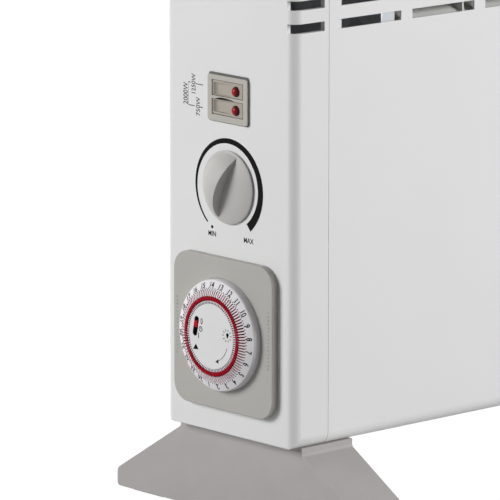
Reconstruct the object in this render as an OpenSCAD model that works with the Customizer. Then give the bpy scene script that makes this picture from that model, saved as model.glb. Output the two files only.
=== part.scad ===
// Free-standing convector heater with two rocker switches, a thermostat knob and a 24 hour dial timer.
// Millimetres, +Z up, the front faces -Y and the control end faces -X.
// The origin lies on the floor, at the middle of the overall box.

/* [Body] */
// Length of the body between its two end faces
body_w = 530; // [440:1:700]
// Depth of the body from front to rear
body_d = 101; // [96:1:130]
// Height of the body above its own underside
body_h = 322; // [314:1:400]
// Height of the body's underside above the floor
body_lift = 48; // [44:1:60]
// Radius of the upright corners at the two ends
upright_r = 5.5; // [3:0.5:7]
// Radius of the lower lengthwise edges
lower_r = 7; // [5:0.5:10]
// Radius of the upper lengthwise edges
upper_r = 14; // [8:0.5:18]
// Radius where an end face turns into the top
end_top_r = 5; // [3:0.5:8]
// Radius where an end face turns into the underside
end_low_r = 1.6; // [1:0.1:3]

/* [Panels and end caps] */
// Thickness of the sheet steel panels
sheet_t = 1; // [0.6:0.1:1.2]
// Wall thickness of an end cap's face
cap_t = 2.2; // [1.8:0.1:3]
// Length of an end cap along the body
cap_l = 24; // [20:1:30]
// Length of the tongue that the panels slide over
tongue_l = 10; // [8:1:14]
// Wall thickness of that tongue
tongue_t = 1.6; // [1.2:0.1:2]
// Seam left open between neighbouring panels
seam = 0.3; // [0.1:0.1:0.6]

/* [Hand grips] */
// Width of a hand grip's opening
grip_w = 84; // [70:1:88]
// Height of a hand grip's opening
grip_h = 24; // [20:1:30]
// Depth of a hand grip
grip_deep = 17; // [12:1:20]
// Distance from the body's top down to a hand grip
grip_drop = 34; // [30:1:50]
// Corner radius of a hand grip
grip_r = 9; // [4:1:10]

/* [Outlet louvres] */
// Distance from the body's top down to the lowest outlet slot's lower edge
slot_drop = 102.6; // [97:0.1:120]
// Number of rows of outlet slots
slot_rows = 6; // [3:1:6]
// Number of slots in a row
slot_cols = 9; // [8:1:11]
// Height of an outlet slot
slot_h = 5; // [3:0.5:6]
// Distance from one row of slots to the next
slot_pitch = 12; // [10:0.5:13]
// Sheet left between two slots of a row
slot_rib = 8; // [5:1:12]
// Sheet left between the seam and the first slot
slot_margin = 6; // [4:1:20]
// How far a louvre blade reaches inwards
blade_deep = 12; // [8:1:16]
// Thickness of a louvre blade
blade_t = 1.2; // [0.8:0.1:1.6]
// Slope of the louvre blades
blade_tilt = 30; // [20:1:35]

/* [Air inlets] */
// Length of an inlet slot
inlet_l = 44; // [30:1:48]
// Width of an inlet slot
inlet_w = 6; // [4:0.5:8]
// Distance from one inlet slot to the next along the body
inlet_pitch = 54; // [50:1:64]
// Number of inlet slots in a row
inlet_cols = 8; // [5:1:8]
// Distance between the rows of inlet slots
inlet_row_pitch = 14; // [10:1:16]
// Height of the lowest inlet slot in the rear panel
inlet_v = 54; // [50:1:90]

/* [Feet] */
// Length of a foot from front to rear
foot_len = 200; // [180:1:240]
// Thickness of a foot along the body
foot_t = 36; // [35:1:44]
// Distance from the end face in to the foot
foot_inset = 8; // [6:1:10]
// Distance from the body's front or rear face in to the foot's top edge
foot_top_inset = 2.7; // [2:0.1:6]
// Upright stretch below the body before the foot slopes outwards
foot_neck = 4; // [2:0.1:5]
// Height of a foot's tip above its pads
foot_tip_h = 9.7; // [8:0.1:14]
// Radius at the tips of a foot
foot_tip_r = 4; // [2:0.5:5]
// Radius of a foot's lower corners
foot_low_r = 2; // [1:0.5:3]
// Thickness of the rubber pads
pad_h = 2; // [1:0.5:3]
// Length of a rubber pad from front to rear
pad_l = 24; // [15:1:35]
// Width of a rubber pad along the body
pad_w = 26; // [15:1:32]
// Distance from a foot's tip in to its pad
pad_inset = 8; // [6:1:14]
// Thickness of the foot over the head of a foot screw
foot_web = 8; // [6:1:12]
// Length of a foot screw above the body's underside
foot_screw_up = 5; // [4:0.5:8]
// Distance of the foot screws inwards of the end cap's tongue
foot_screw_margin = 4.6; // [4.5:0.1:5]

/* [Switch] */
// Height of the switch's centre above the body's underside
switch_v = 180.3; // [176:0.1:190]
// Width of the switch bezel
bezel_w = 31; // [30:0.1:34]
// Height of the switch bezel
bezel_h = 25.9; // [25:0.1:28]
// Corner radius of the switch bezel
bezel_r = 2.2; // [1:0.1:3]
// How far the switch bezel stands proud
bezel_proud = 1.5; // [1.2:0.1:2.4]
// Margin between the switch body's outline and the bezel's outline
bezel_lip = 2; // [1.6:0.1:2.4]
// Depth of the switch body behind the end face
switch_deep = 20; // [16:1:26]
// Width of a rocker window
window_w = 24.4; // [23.4:0.1:24.8]
// Height of a rocker window
window_h = 8.4; // [8:0.1:9]
// Height of the bar between the two windows
window_bar = 1.6; // [1.4:0.1:2.4]
// Gap round a rocker in its window
rocker_gap = 0.2; // [0.1:0.05:0.3]
// Tilt of a rocker to either side of its middle
rocker_tilt = 7; // [5:0.5:8]
// Height of a rocker's edge above its pivot
rocker_rise = 2.7; // [2.5:0.1:3]
// Hollow of a rocker's top below its edges
rocker_dish = 1.2; // [0.8:0.1:1.3]
// Depth of a rocker below its pivot
rocker_skirt = 5; // [4:0.5:6]
// Depth of a rocker's pivot behind the end face
pivot_deep = 1.9; // [1.6:0.1:2.4]
// Radius of a rocker's pivot pin
pivot_r = 1.1; // [0.9:0.1:1.2]
// Diameter of a neon lens
lens_d = 5.6; // [4.5:0.1:6]
// Height of a neon lens above the rocker
lens_rise = 2.2; // [0.8:0.1:2.5]
// Depth of a neon lens in its seat
lens_seat = 2; // [1.6:0.1:2.4]
// Distance from the switch's middle to a neon lens
lens_u = 6.4; // [5:0.1:7.2]

/* [Thermostat] */
// Height of the knob's axis above the body's underside
knob_v = 133.1; // [128:0.1:134]
// Diameter of the knob
knob_d = 39; // [36:0.5:42]
// Height of the knob's rim above the end face
knob_rim = 1.2; // [1:0.1:2.4]
// Gap between the knob and the end face
knob_gap = 0.6; // [0.4:0.1:0.8]
// Height of the knob's dome above its rim
knob_dome = 3.3; // [3:0.1:4.5]
// Exponent of the dome's curve, where less makes a fuller shoulder
knob_full = 0.8; // [0.6:0.05:1]
// Length of the knob's half-moon grip
grip_chord = 33.4; // [30:0.1:34]
// Distance from the knob's axis to the grip's middle, away from its tip
grip_shift = 1.1; // [0:0.1:1.4]
// Height of the half-moon grip above the dome
grip_rise = 6.4; // [5:0.1:7]
// Direction of the grip's tip, clockwise from straight up
knob_rest = 25; // [0:1:60]
// Thickness left in the knob over its shaft
knob_skin = 0.9; // [0.6:0.1:1.2]
// Radius of the thermostat's shaft
shaft_r = 3; // [2.5:0.1:3.5]
// Width of the thermostat body
stat_w = 30; // [26:1:36]
// Height of the thermostat body
stat_h = 38; // [34:1:42]
// Depth of the thermostat body
stat_deep = 16; // [12:1:20]
// Height of the boss and the posts in front of the thermostat body
stat_boss = 2; // [1:0.5:3]
// Wall of the posts round the thermostat's screws
stat_wall = 1.7; // [1.4:0.1:2]
// Distance between the thermostat's two screws
stat_screw_gap = 28; // [26:1:32]

/* [Timer plate] */
// Height of the timer plate's centre above the body's underside
plate_v = 55; // [52:0.1:58]
// Distance of the timer's axis from the end face's middle towards the rear
timer_s = 0.6; // [0:0.1:3]
// Width of the timer plate
plate_w = 79.2; // [76:0.1:84]
// Height of the timer plate
plate_h = 81.8; // [76:0.1:86]
// How far the timer plate stands proud
plate_proud = 4.2; // [4:0.1:5]
// Corner radius of the timer plate
plate_r = 11; // [6:0.5:14]
// Radius of the timer plate's outer edge
plate_edge = 1.4; // [0.8:0.1:2]
// Side of the square timer housing behind the plate
timer_side = 56; // [52:0.5:60]
// Depth of the timer housing behind the end face
timer_deep = 36; // [34:0.5:40]
// Wall thickness of the timer housing
timer_t = 1.6; // [1.2:0.1:2]
// Radius of the hole in the timer plate
plate_hole_r = 24; // [20:0.5:25]
// Distance of the plate's screws outside the timer housing
timer_screw_margin = 4.5; // [4:0.5:6]

/* [Timer dial] */
// Radius of the dial
dial_r = 29.8; // [28.5:0.1:32]
// Height of the dial's rim above the end face
dial_rim = 8.3; // [8:0.1:9]
// Rise of the number ring for each millimetre inwards
dial_slope = 0.46; // [0.3:0.01:0.5]
// Gap between the dial and the plate round it
dial_gap = 0.7; // [0.4:0.1:1]
// Gap between the dial and the plate's recess under it
dial_lift = 2.4; // [1.6:0.1:2.4]
// Outer radius of the tappet groove
groove_r = 24.9; // [24.5:0.1:25.5]
// Inner radius of the tappet groove
groove_in = 18.9; // [18.5:0.1:19]
// Height of the groove's floor above the end face
groove_floor = 7.6; // [7.4:0.1:7.8]
// Radius of the fixed disc at the dial's middle
face_r = 17.2; // [16.5:0.1:17.4]
// Height of the fixed disc above the end face
face_top = 12.2; // [11.8:0.1:12.6]
// Thickness of the fixed disc
face_t = 3.6; // [3:0.1:3.8]
// Gap between the fixed disc and the dial
face_gap = 0.4; // [0.3:0.1:0.6]
// Step from the fixed disc down to the dial's inner ring
ring_step = 0.3; // [0.1:0.1:0.6]
// Radius of the stem that the dial turns on
stem_r = 6; // [5:0.1:7]
// Running clearance of the dial, the pinion, the shaft and the rockers on their pins
run_gap = 0.05; // [0.03:0.01:0.08]

/* [Tappets] */
// Number of tappets round the dial
tappets = 96; // [96:96]
// Width of a tappet
tappet_w = 0.8; // [0.6:0.05:0.85]
// Length of a tappet's head towards the middle
tappet_l = 2.3; // [2:0.1:2.6]
// Height of a tappet above the dial's groove
tappet_h = 4.3; // [4:0.1:4.5]
// Thickness of the ribs between the tappets
rib_t = 0.5; // [0.4:0.05:0.55]
// Radius at which the ribs start
rib_in = 21.7; // [21.6:0.1:22]

/* [Override slider] */
// Length of the slider's slot
override_l = 10.7; // [9:0.1:11]
// Width of the slider's slot
override_w = 3; // [2.6:0.1:3.2]
// Depth of the slider's slot
override_deep = 2.4; // [1.8:0.1:2.6]
// Distance of the slot's middle from the dial's axis towards the rear
override_u = 12; // [11.6:0.1:13.2]
// Distance of the slot's middle above the dial's axis
override_v = 3.9; // [3:0.1:4.4]
// Lean of the slot away from upright
override_lean = 11; // [6:0.5:12]
// Length of the sliding button
slider_l = 3.6; // [3:0.1:4]
// Distance of the button above the slot's middle
slider_rest = 1.2; // [-3:0.1:2]
// Height of the button above the fixed disc
slider_rise = 0.4; // [0.2:0.1:0.8]

/* [Timer movement] */
// Gear module of the timer's last stage
gear_m = 0.8; // [0.78:0.01:0.82]
// Teeth on the dial's gear
dial_teeth = 48; // [48:48]
// Teeth on the motor's pinion
pinion_teeth = 8; // [8:8]
// Thickness of the gears
gear_t = 4; // [3:0.5:5]
// Depth of the gears' rear face behind the end face
gear_deep = 9; // [8:0.5:9.5]
// Gap between the gears and the movement's plate
movement_gap = 3.5; // [3:0.5:4]
// Thickness of the movement's plate
movement_t = 1.6; // [1.2:0.1:2]
// Radius of the pinion's shaft
pinion_shaft_r = 1; // [0.8:0.1:1.2]
// Gap between the movement's plate and the motor
motor_gap = 3; // [2:0.5:4]
// Radius of the motor's can
motor_r = 15; // [13:0.5:16]
// Thickness of the motor's can
motor_t = 13; // [10:0.5:14]

/* [Heating elements] */
// Radius of an element's tube
tube_r = 4.2; // [3.5:0.1:5]
// Distance between the two legs of an element
leg_gap = 28; // [26:1:34]
// Height of the 1250 watt element above the body's underside
element_low_v = 58; // [50:1:62]
// Height of the 750 watt element above the body's underside
element_high_v = 92; // [88:1:110]
// Width of an element's fins
fin_w = 50; // [46:1:52]
// Height of an element's fins
fin_h = 22; // [18:1:24]
// Thickness of a fin
fin_t = 0.6; // [0.5:0.1:1]
// Distance from one fin to the next
fin_pitch = 10; // [8:0.5:14]
// Distance from the control bulkhead's flange to the first fin
fin_margin = 14; // [10:1:20]
// Length of an element's legs on the control side of the bulkhead
leg_l = 12; // [10:1:16]
// Length of an element's legs beyond their bracket
leg_over = 12; // [8:1:16]
// Length of an element's terminal pins
pin_l = 6; // [4:0.5:8]
// Radius of an element's terminal pins
pin_r = 1.5; // [1:0.1:2]
// Outer radius of the ceramic bushes
bush_r = 6.8; // [6.6:0.1:8]
// Thickness of a bush's lip on the control side
bush_lip = 2.2; // [1.5:0.1:3]
// Distance from the plain bulkhead in to the elements' bracket
bracket_gap = 50; // [44:1:60]
// Length of that bracket's foot
bracket_foot = 10; // [8:1:14]
// Height of that bracket above the upper element's fins
bracket_rise = 6; // [4:1:10]

/* [Inner sheet work] */
// Distance from the control end face in to the control bulkhead
bulkhead_s = 62; // [60:1:70]
// Distance from the plain end face in to the plain bulkhead
far_s = 46; // [44:1:54]
// Length of a bulkhead's flange
flange_l = 9; // [6:1:14]
// Distance of the heat baffle behind the body's middle
baffle_y = 30; // [28:1:34]
// Height at which the baffle starts to lean forwards
baffle_bend_v = 205; // [190:1:215]
// How far the baffle's top edge leans forwards
baffle_lean = 38; // [30:1:42]
// Distance of the baffle's top edge below the upper corners
baffle_drop = 6; // [4:1:10]
// Width of the upright ribs that carry the louvre blades, beyond the blades
rib_over = 4; // [2:0.5:6]
// Number of spaces between those ribs
rib_spaces = 8; // [6:1:10]
// Clearance between neighbouring inner pieces
fit = 0.2; // [0.1:0.05:0.3]

/* [Wiring] */
// Radius of the thermal cutout's can
cutout_r = 8; // [6:0.5:10]
// Height of the thermal cutout's can
cutout_h = 9; // [7:0.5:12]
// Height of the thermal cutout above the body's underside
cutout_v = 150; // [130:1:180]
// Width of the tabs on the switch, the thermostat and the cutout
tab_w = 6; // [4.8:0.1:6.3]
// Thickness of those tabs
tab_t = 0.8; // [0.6:0.1:1]
// Length of those tabs
tab_l = 8; // [6:0.5:10]
// Distance from one tab to the next
tab_pitch = 8; // [7:0.5:9]
// Radius of a wire
wire_r = 1.1; // [0.8:0.1:1.2]
// Distance from one wire to the next
wire_pitch = 3.4; // [3.2:0.1:3.8]
// Width of the terminal block
block_w = 40; // [30:1:44]
// Height of the terminal block
block_h = 18; // [14:1:20]
// Depth of the terminal block
block_t = 15; // [12:1:16]
// Number of ways in the terminal block
block_ways = 3; // [3:3]
// Radius of the terminal block's bores
block_bore_r = 3.2; // [2:0.1:3.5]

/* [Cord inlet] */
// Radius of the gland's bore
gland_bore_r = 3.8; // [3:0.1:4.5]
// Radius of the gland's neck
gland_neck_r = 6.4; // [6:0.1:7.5]
// Radius of the gland's flange
gland_flange_r = 9.5; // [8.5:0.5:12]
// Length of the gland
gland_l = 16; // [12:0.5:20]
// Thickness of the gland's flange
gland_flange_t = 3; // [2:0.5:4]
// Distance of the gland from the control end face
gland_s = 44; // [38:1:46]
// Height of the gland above the body's underside
gland_v = 26; // [22:1:40]

/* [Fasteners] */
// Shank radius of the small screws
screw_r = 1.5; // [1.2:0.1:1.7]
// Head radius of the small screws
screw_head_r = 3; // [2.6:0.1:3.4]
// Head height of the small screws
screw_head_h = 1.6; // [1.2:0.1:1.7]
// Length of a timer screw in the timer plate
timer_screw_l = 3; // [2:0.1:3.2]
// Clearance round a screw's shank
screw_gap = 0.1; // [0.05:0.05:0.2]
// Distance of the outer rear screws from the body's top and underside
rear_screw_inset = 45; // [30:1:70]

/* [Hidden] */
$fn = 48;
eps = 1;
bite = 0.5;

// Places along the body, with the controls counted in the overall length
controls_proud = face_top + slider_rise;
x_left = controls_proud - (body_w + controls_proud) / 2;
x_right = x_left + body_w;
x_mid = (x_left + x_right) / 2;
panel_x = x_left + cap_l + seam;
panel_l = body_w - 2 * (cap_l + seam);
bulkhead_x = x_left + bulkhead_s;
far_x = x_right - far_s;
cavity = sheet_t + seam + tongue_t;

// Slots in the front panel
slot_v = body_h - slot_drop;
slot_l = (panel_l - 2 * slot_margin - (slot_cols - 1) * slot_rib) / slot_cols;
slot_step = slot_l + slot_rib;
inlet_x0 = x_mid - (inlet_cols - 1) * inlet_pitch / 2;

// Switch
window_v = (window_h + window_bar) / 2;
rocker_r = window_w / 2 - rocker_gap;
rocker_w = window_h - 2 * rocker_gap;
rocker_edge = sqrt(rocker_r * rocker_r - rocker_rise * rocker_rise);
dish_r = (rocker_edge * rocker_edge + rocker_dish * rocker_dish) / (2 * rocker_dish);
dish_z = rocker_rise - rocker_dish + dish_r;
lens_z = dish_z - sqrt(dish_r * dish_r - lens_u * lens_u);
lens_r = lens_d / 2 - screw_gap;
lens_dome_r = (lens_r * lens_r + lens_rise * lens_rise) / (2 * lens_rise);
window_deep = pivot_deep + rocker_skirt + rocker_r * sin(rocker_tilt) + 2 * rocker_gap;

// Thermostat
knob_top = knob_rim + knob_dome;
knob_hub_r = shaft_r + 1.5;
grip_foot = knob_z(grip_chord / 2);
grip_total = knob_top + grip_rise - grip_foot;
grip_ball_r = (grip_chord * grip_chord / 4 + grip_total * grip_total) / (2 * grip_total);
shaft_top = knob_top - knob_skin;
stat_z = -cap_t - stat_boss - stat_deep;

// Timer
recess_floor = plate_proud / 2;
dial_bottom = recess_floor + dial_lift;
groove_top = dial_rim + dial_slope * (dial_r - groove_r);
rib_top = dial_rim + dial_slope * (dial_r - rib_in);
inner_ring_top = face_top - ring_step;
face_floor = face_top - face_t;
dial_hub_top = face_floor - face_gap;
dial_bore_r = stem_r + run_gap;
dial_gear_r = gear_m * dial_teeth / 2;
pinion_r = gear_m * pinion_teeth / 2;
addendum = 0.8 * gear_m;
dedendum = 1.1 * gear_m;
pinion_at = (dial_gear_r + pinion_r + 0.05) / sqrt(2);
movement_z = -gear_deep - movement_gap;
motor_top = movement_z - motor_gap;
motor_at = pinion_at - motor_r / 2;
motor_slot = motor_top - motor_t;
timer_screw_at = timer_side / 2 + timer_screw_margin;

// Elements
leg_x0 = bulkhead_x - leg_l;
bracket_x = far_x - bracket_gap;
bend_x = bracket_x + leg_over;
fin_x0 = bulkhead_x + flange_l + fin_margin;
fin_count = floor((bracket_x - fin_pitch - fin_x0) / fin_pitch);
bush_bore_r = tube_r + screw_gap;

// Feet
foot_half = body_d / 2 - foot_top_inset;
foot_screw_s = cap_l + tongue_l + foot_screw_margin;
foot_screw_y = body_d / 4;

// Height of the knob's dome at a radius
function knob_z(r) =
    knob_rim + knob_dome * pow(1 - pow(2 * r / knob_d, 2), knob_full);

function unit(v) = v / norm(v);

// Points of the arc that rounds the corner b between its neighbours a and c
function corner_arc(a, b, c, r, n) =
    let (
        to_a = unit(a - b),
        to_c = unit(c - b),
        half = acos(to_a * to_c) / 2,
        centre = b + unit(to_a + to_c) * r / sin(half),
        from = b + to_a * r / tan(half) - centre,
        to = b + to_c * r / tan(half) - centre,
        start = atan2(from.y, from.x),
        sweep = (atan2(to.y, to.x) - start + 540) % 360 - 180
    )
    [for (i = [0 : n]) centre + r * [cos(start + sweep * i / n), sin(start + sweep * i / n)]];

// An outline with each corner rounded by its own radius, or left sharp where that is 0
function rounded(points, radii, n = 8) =
    let (k = len(points))
    [
        for (i = [0 : k - 1])
            each radii[i] > 0
                ? corner_arc(points[(i + k - 1) % k], points[i], points[(i + 1) % k], radii[i], n)
                : [points[i]]
    ];

function centred_box(w, h) = [[-w / 2, -h / 2], [w / 2, -h / 2], [w / 2, h / 2], [-w / 2, h / 2]];

module rounded_box(w, h, r) {
    polygon(rounded(centred_box(w, h), [r, r, r, r]));
}

// The control end's own frame: x to the front, y up, z out of the end face
module end_frame(v) {
    translate([x_left, 0, body_lift + v])
        rotate([90, 0, -90])
            children();
}

// The timer's frame: the control end's own frame about the dial's axis
module timer_frame() {
    end_frame(plate_v)
        translate([-timer_s, 0, 0])
            children();
}

// Extrudes a profile drawn in depth and height along the body
module along_body(x, l) {
    translate([x, 0, body_lift])
        rotate([90, 0, 90])
            linear_extrude(l)
                children();
}

// The body's cross-section, drawn inset from its skin
module section(inset) {
    half = body_d / 2 - inset;
    low = lower_r - inset;
    up = upper_r - inset;
    top = body_h - inset;
    polygon(rounded([[-half, inset], [half, inset], [half, top], [-half, top]], [low, low, up, up]));
}

// A closed loop of sheet that follows the body's skin
module skin(inset, t) {
    difference() {
        section(inset);
        section(inset + t);
    }
}

module mirrored_end() {
    translate([2 * x_mid, 0, 0])
        mirror([1, 0, 0])
            children();
}

module screw(shank_l, shank_r, head_r, head_h) {
    cylinder(h = head_h, r = head_r);
    translate([0, 0, -shank_l])
        cylinder(h = shank_l, r = shank_r);
}

// Outer body panels

module outlet_slots(x0, step, count, l, y, deep) {
    for (row = [0 : slot_rows - 1], col = [0 : count - 1])
        translate([x0 + col * step, y, body_lift + slot_v + row * slot_pitch])
            cube([l, deep, slot_h]);
}

module front_panel() {
    color("white")
        difference() {
            along_body(panel_x, panel_l)
                intersection() {
                    skin(0, sheet_t);
                    translate([-body_d, 0])
                        union() {
                            translate([0, lower_r])
                                square([body_d, body_h]);
                            translate([0, body_h - upper_r])
                                square([1.5 * body_d - upper_r - seam, 2 * upper_r]);
                            square([body_d / 2 + lower_r, 2 * lower_r]);
                        }
                }
            outlet_slots(
                panel_x + slot_margin, slot_step, slot_cols, slot_l, -body_d / 2 - eps, 2 * sheet_t + eps
            );
        }
}

module rear_panel() {
    color("white")
        difference() {
            along_body(panel_x, panel_l)
                intersection() {
                    skin(0, sheet_t);
                    union() {
                        translate([body_d / 2 - upper_r, body_h - 2 * upper_r])
                            square([2 * upper_r, 3 * upper_r]);
                        translate([body_d / 2 - lower_r, -eps])
                            square([2 * lower_r, body_h - upper_r + eps]);
                    }
                }
            for (row = [0 : 2], col = [0 : inlet_cols - 1])
                translate([
                    inlet_x0 + col * inlet_pitch - inlet_l / 2,
                    body_d / 2 - 2 * sheet_t,
                    body_lift + inlet_v + row * inlet_row_pitch
                ])
                    cube([inlet_l, 2 * sheet_t + eps, inlet_w]);
            rear_screw_places()
                cylinder(h = 4 * sheet_t, r = screw_r + screw_gap, center = true);
            translate([x_left + gland_s, body_d / 2, body_lift + gland_v])
                rotate([90, 0, 0])
                    cylinder(h = 4 * sheet_t, r = gland_neck_r + screw_gap, center = true);
        }
}

module base_grille() {
    width = body_d - 2 * lower_r - 2 * seam;
    color("gainsboro")
        difference() {
            translate([panel_x, -width / 2, body_lift])
                cube([panel_l, width, sheet_t]);
            for (row = [-2 : 2], col = [0 : inlet_cols - 1])
                translate([
                    inlet_x0 + col * inlet_pitch - inlet_l / 2,
                    row * inlet_row_pitch - inlet_w / 2,
                    body_lift - eps
                ])
                    cube([inlet_l, inlet_w, sheet_t + 2 * eps]);
            foot_screw_places()
                cylinder(h = 2 * foot_screw_up, r = screw_r + screw_gap, center = true);
        }
}

module outlet_grille() {
    grille_x = bulkhead_x + flange_l + seam;
    grille_l = far_x - flange_l - seam - grille_x;
    y0 = -body_d / 2 + sheet_t + fit + blade_t * sin(blade_tilt);
    top = slot_v + slot_rows * slot_pitch;
    color("whitesmoke") {
        for (row = [0 : slot_rows])
            along_body(grille_x, grille_l)
                translate([y0, slot_v - (slot_pitch - slot_h) / 2 + row * slot_pitch])
                    rotate(blade_tilt)
                        square([blade_deep, blade_t]);
        for (col = [0 : rib_spaces])
            translate([
                grille_x + col * (grille_l - blade_t) / rib_spaces,
                y0 + 2 * fit,
                body_lift + slot_v - slot_pitch / 2 + rib_over / 2
            ])
                cube([blade_t, blade_deep * cos(blade_tilt) - bite, top - slot_v + rib_over]);
    }
}

// End caps

module cap_block(inset, l) {
    round_in = upright_r - inset;
    x0 = x_left + inset;
    x1 = x_left + l;
    half = body_d / 2 - inset;
    intersection() {
        along_body(x0, l - inset)
            section(inset);
        translate([0, 0, body_lift])
            linear_extrude(body_h)
                polygon(rounded(
                    [[x0, -half], [x1, -half], [x1, half], [x0, half]],
                    [round_in, 0, 0, round_in]
                ));
        translate([0, body_d, body_lift])
            rotate([90, 0, 0])
                linear_extrude(2 * body_d)
                    polygon(rounded(
                        [[x0, 0], [x1, 0], [x1, body_h - inset], [x0, body_h - inset]],
                        [end_low_r, 0, 0, end_top_r - inset]
                    ));
    }
}

module grip_place() {
    end_frame(body_h - grip_drop - grip_h / 2)
        children();
}

module end_cap() {
    difference() {
        union() {
            difference() {
                union() {
                    cap_block(0, cap_l);
                    along_body(x_left + cap_l / 2, cap_l / 2 + tongue_l)
                        section(sheet_t + seam);
                }
                along_body(x_left + cap_t, cap_l + tongue_l)
                    section(cavity);
            }
            grip_place()
                translate([0, 0, -grip_deep - cap_t])
                    linear_extrude(grip_deep + cap_t - 0.5)
                        rounded_box(grip_w + 2 * cap_t, grip_h + 2 * cap_t, grip_r + cap_t);
        }
        grip_place()
            translate([0, 0, -grip_deep])
                linear_extrude(grip_deep + eps)
                    rounded_box(grip_w, grip_h, grip_r);
        outlet_slots(x_left - eps, 1, 1, cap_l - 3 + eps, -body_d / 2 - eps, upright_r + eps);
        rear_screw_places()
            cylinder(h = 20, r = screw_r + screw_gap, center = true);
    }
}

module control_end_cap() {
    color("white")
        difference() {
            end_cap();
            end_frame(switch_v)
                translate([0, 0, -2 * cap_t])
                    linear_extrude(3 * cap_t)
                        rounded_box(bezel_w - 2 * bezel_lip + 0.4, bezel_h - 2 * bezel_lip + 0.4, 1);
            end_frame(knob_v) {
                cylinder(h = 4 * cap_t, r = knob_hub_r + 0.5, center = true);
                for (side = [-1, 1])
                    translate([side * stat_screw_gap / 2, 0, 0]) {
                        cylinder(h = 4 * cap_t, r = screw_r + screw_gap, center = true);
                        translate([0, 0, -screw_head_h - screw_gap])
                            cylinder(h = 2 * screw_head_h, r = screw_head_r + screw_gap);
                    }
            }
            timer_frame() {
                translate([0, 0, -2 * cap_t])
                    linear_extrude(3 * cap_t)
                        rounded_box(timer_side + 0.4, timer_side + 0.4, 2);
                for (side = [-1, 1])
                    translate([side * timer_screw_at, 0, 0])
                        cylinder(h = 4 * cap_t, r = screw_r + screw_gap, center = true);
            }
        }
}

module plain_end_cap() {
    color("white")
        mirrored_end()
            end_cap();
}

// Inner sheet work

module bulkhead_pan(x, toward) {
    gap = sheet_t + seam;
    shift = toward > 0 ? 0 : -flange_l;
    difference() {
        along_body(x + shift, flange_l)
            section(gap);
        along_body(x + shift + (toward > 0 ? sheet_t : -eps), flange_l - sheet_t + eps)
            section(gap + sheet_t);
    }
}

module leg_places() {
    for (v = [element_low_v, element_high_v], side = [-1, 1])
        translate([0, side * leg_gap / 2, body_lift + v])
            rotate([0, 90, 0])
                children();
}

module control_bulkhead() {
    color("lightsteelblue")
        difference() {
            bulkhead_pan(bulkhead_x, 1);
            translate([bulkhead_x, 0, 0])
                leg_places()
                    cylinder(h = 4 * sheet_t, r = bush_r + screw_gap, center = true);
        }
}

module plain_bulkhead() {
    color("lightsteelblue")
        bulkhead_pan(far_x, -1);
}

module heat_baffle() {
    rise = body_h - baffle_bend_v - upper_r - baffle_drop;
    foot_v = sheet_t + fit;
    rear_y = baffle_y + sheet_t;
    color("silver")
        along_body(bulkhead_x + flange_l + seam, far_x - bulkhead_x - 2 * (flange_l + seam))
            polygon([
                [baffle_y, foot_v],
                [rear_y, foot_v],
                [rear_y, baffle_bend_v + sheet_t],
                [rear_y - baffle_lean, baffle_bend_v + rise + sheet_t],
                [baffle_y - baffle_lean, baffle_bend_v + rise],
                [baffle_y, baffle_bend_v]
            ]);
}

module element_bracket() {
    front_y = -body_d / 2 + lower_r + sheet_t;
    foot_z = body_lift + sheet_t + fit;
    color("silver")
        difference() {
            union() {
                translate([bracket_x, front_y, foot_z])
                    cube([sheet_t, baffle_y - seam - front_y, element_high_v + fin_h / 2 + bracket_rise]);
                translate([bracket_x, -body_d / 4, foot_z])
                    cube([bracket_foot, body_d / 2, sheet_t]);
            }
            translate([bracket_x, 0, 0])
                leg_places()
                    cylinder(h = 4 * sheet_t, r = bush_bore_r, center = true);
        }
}

// Heating elements, each a finned hairpin tube

module element(v) {
    translate([0, 0, body_lift + v]) {
        for (side = [-1, 1])
            translate([leg_x0, side * leg_gap / 2, 0])
                rotate([0, 90, 0]) {
                    cylinder(h = bend_x - leg_x0, r = tube_r);
                    translate([0, 0, -pin_l])
                        cylinder(h = pin_l + bite, r = pin_r);
                }
        translate([bend_x, 0, 0])
            rotate([0, 0, -90])
                rotate_extrude(angle = 180)
                    translate([leg_gap / 2, 0])
                        circle(tube_r);
        for (i = [0 : fin_count])
            translate([fin_x0 + i * fin_pitch, -fin_w / 2, -fin_h / 2])
                cube([fin_t, fin_w, fin_h]);
    }
}

module element_1250w() {
    color("dimgray")
        element(element_low_v);
}

module element_750w() {
    color("dimgray")
        element(element_high_v);
}

module ceramic_bushes() {
    color("ivory")
        translate([bulkhead_x, 0, 0])
            leg_places()
                difference() {
                    union() {
                        translate([0, 0, -bush_lip])
                            cylinder(h = bush_lip, r = bush_r + bush_lip);
                        cylinder(h = sheet_t + bush_lip, r = bush_r);
                    }
                    translate([0, 0, -2 * bush_lip])
                        cylinder(h = 6 * bush_lip, r = bush_bore_r);
                }
}

module thermal_cutout() {
    ear = cutout_r / 2;
    color("saddlebrown")
        translate([bulkhead_x + sheet_t, 0, body_lift + cutout_v])
            rotate([0, 90, 0]) {
                cylinder(h = cutout_h, r = cutout_r);
                translate([-ear, -cutout_r - ear, 0])
                    cube([2 * ear, 2 * (cutout_r + ear), sheet_t]);
                for (side = [-1, 1])
                    translate([-tab_w / 2, side * tab_pitch / 2 - tab_t / 2, cutout_h - bite])
                        cube([tab_w, tab_t, tab_l]);
            }
}

// Thermostat

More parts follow.
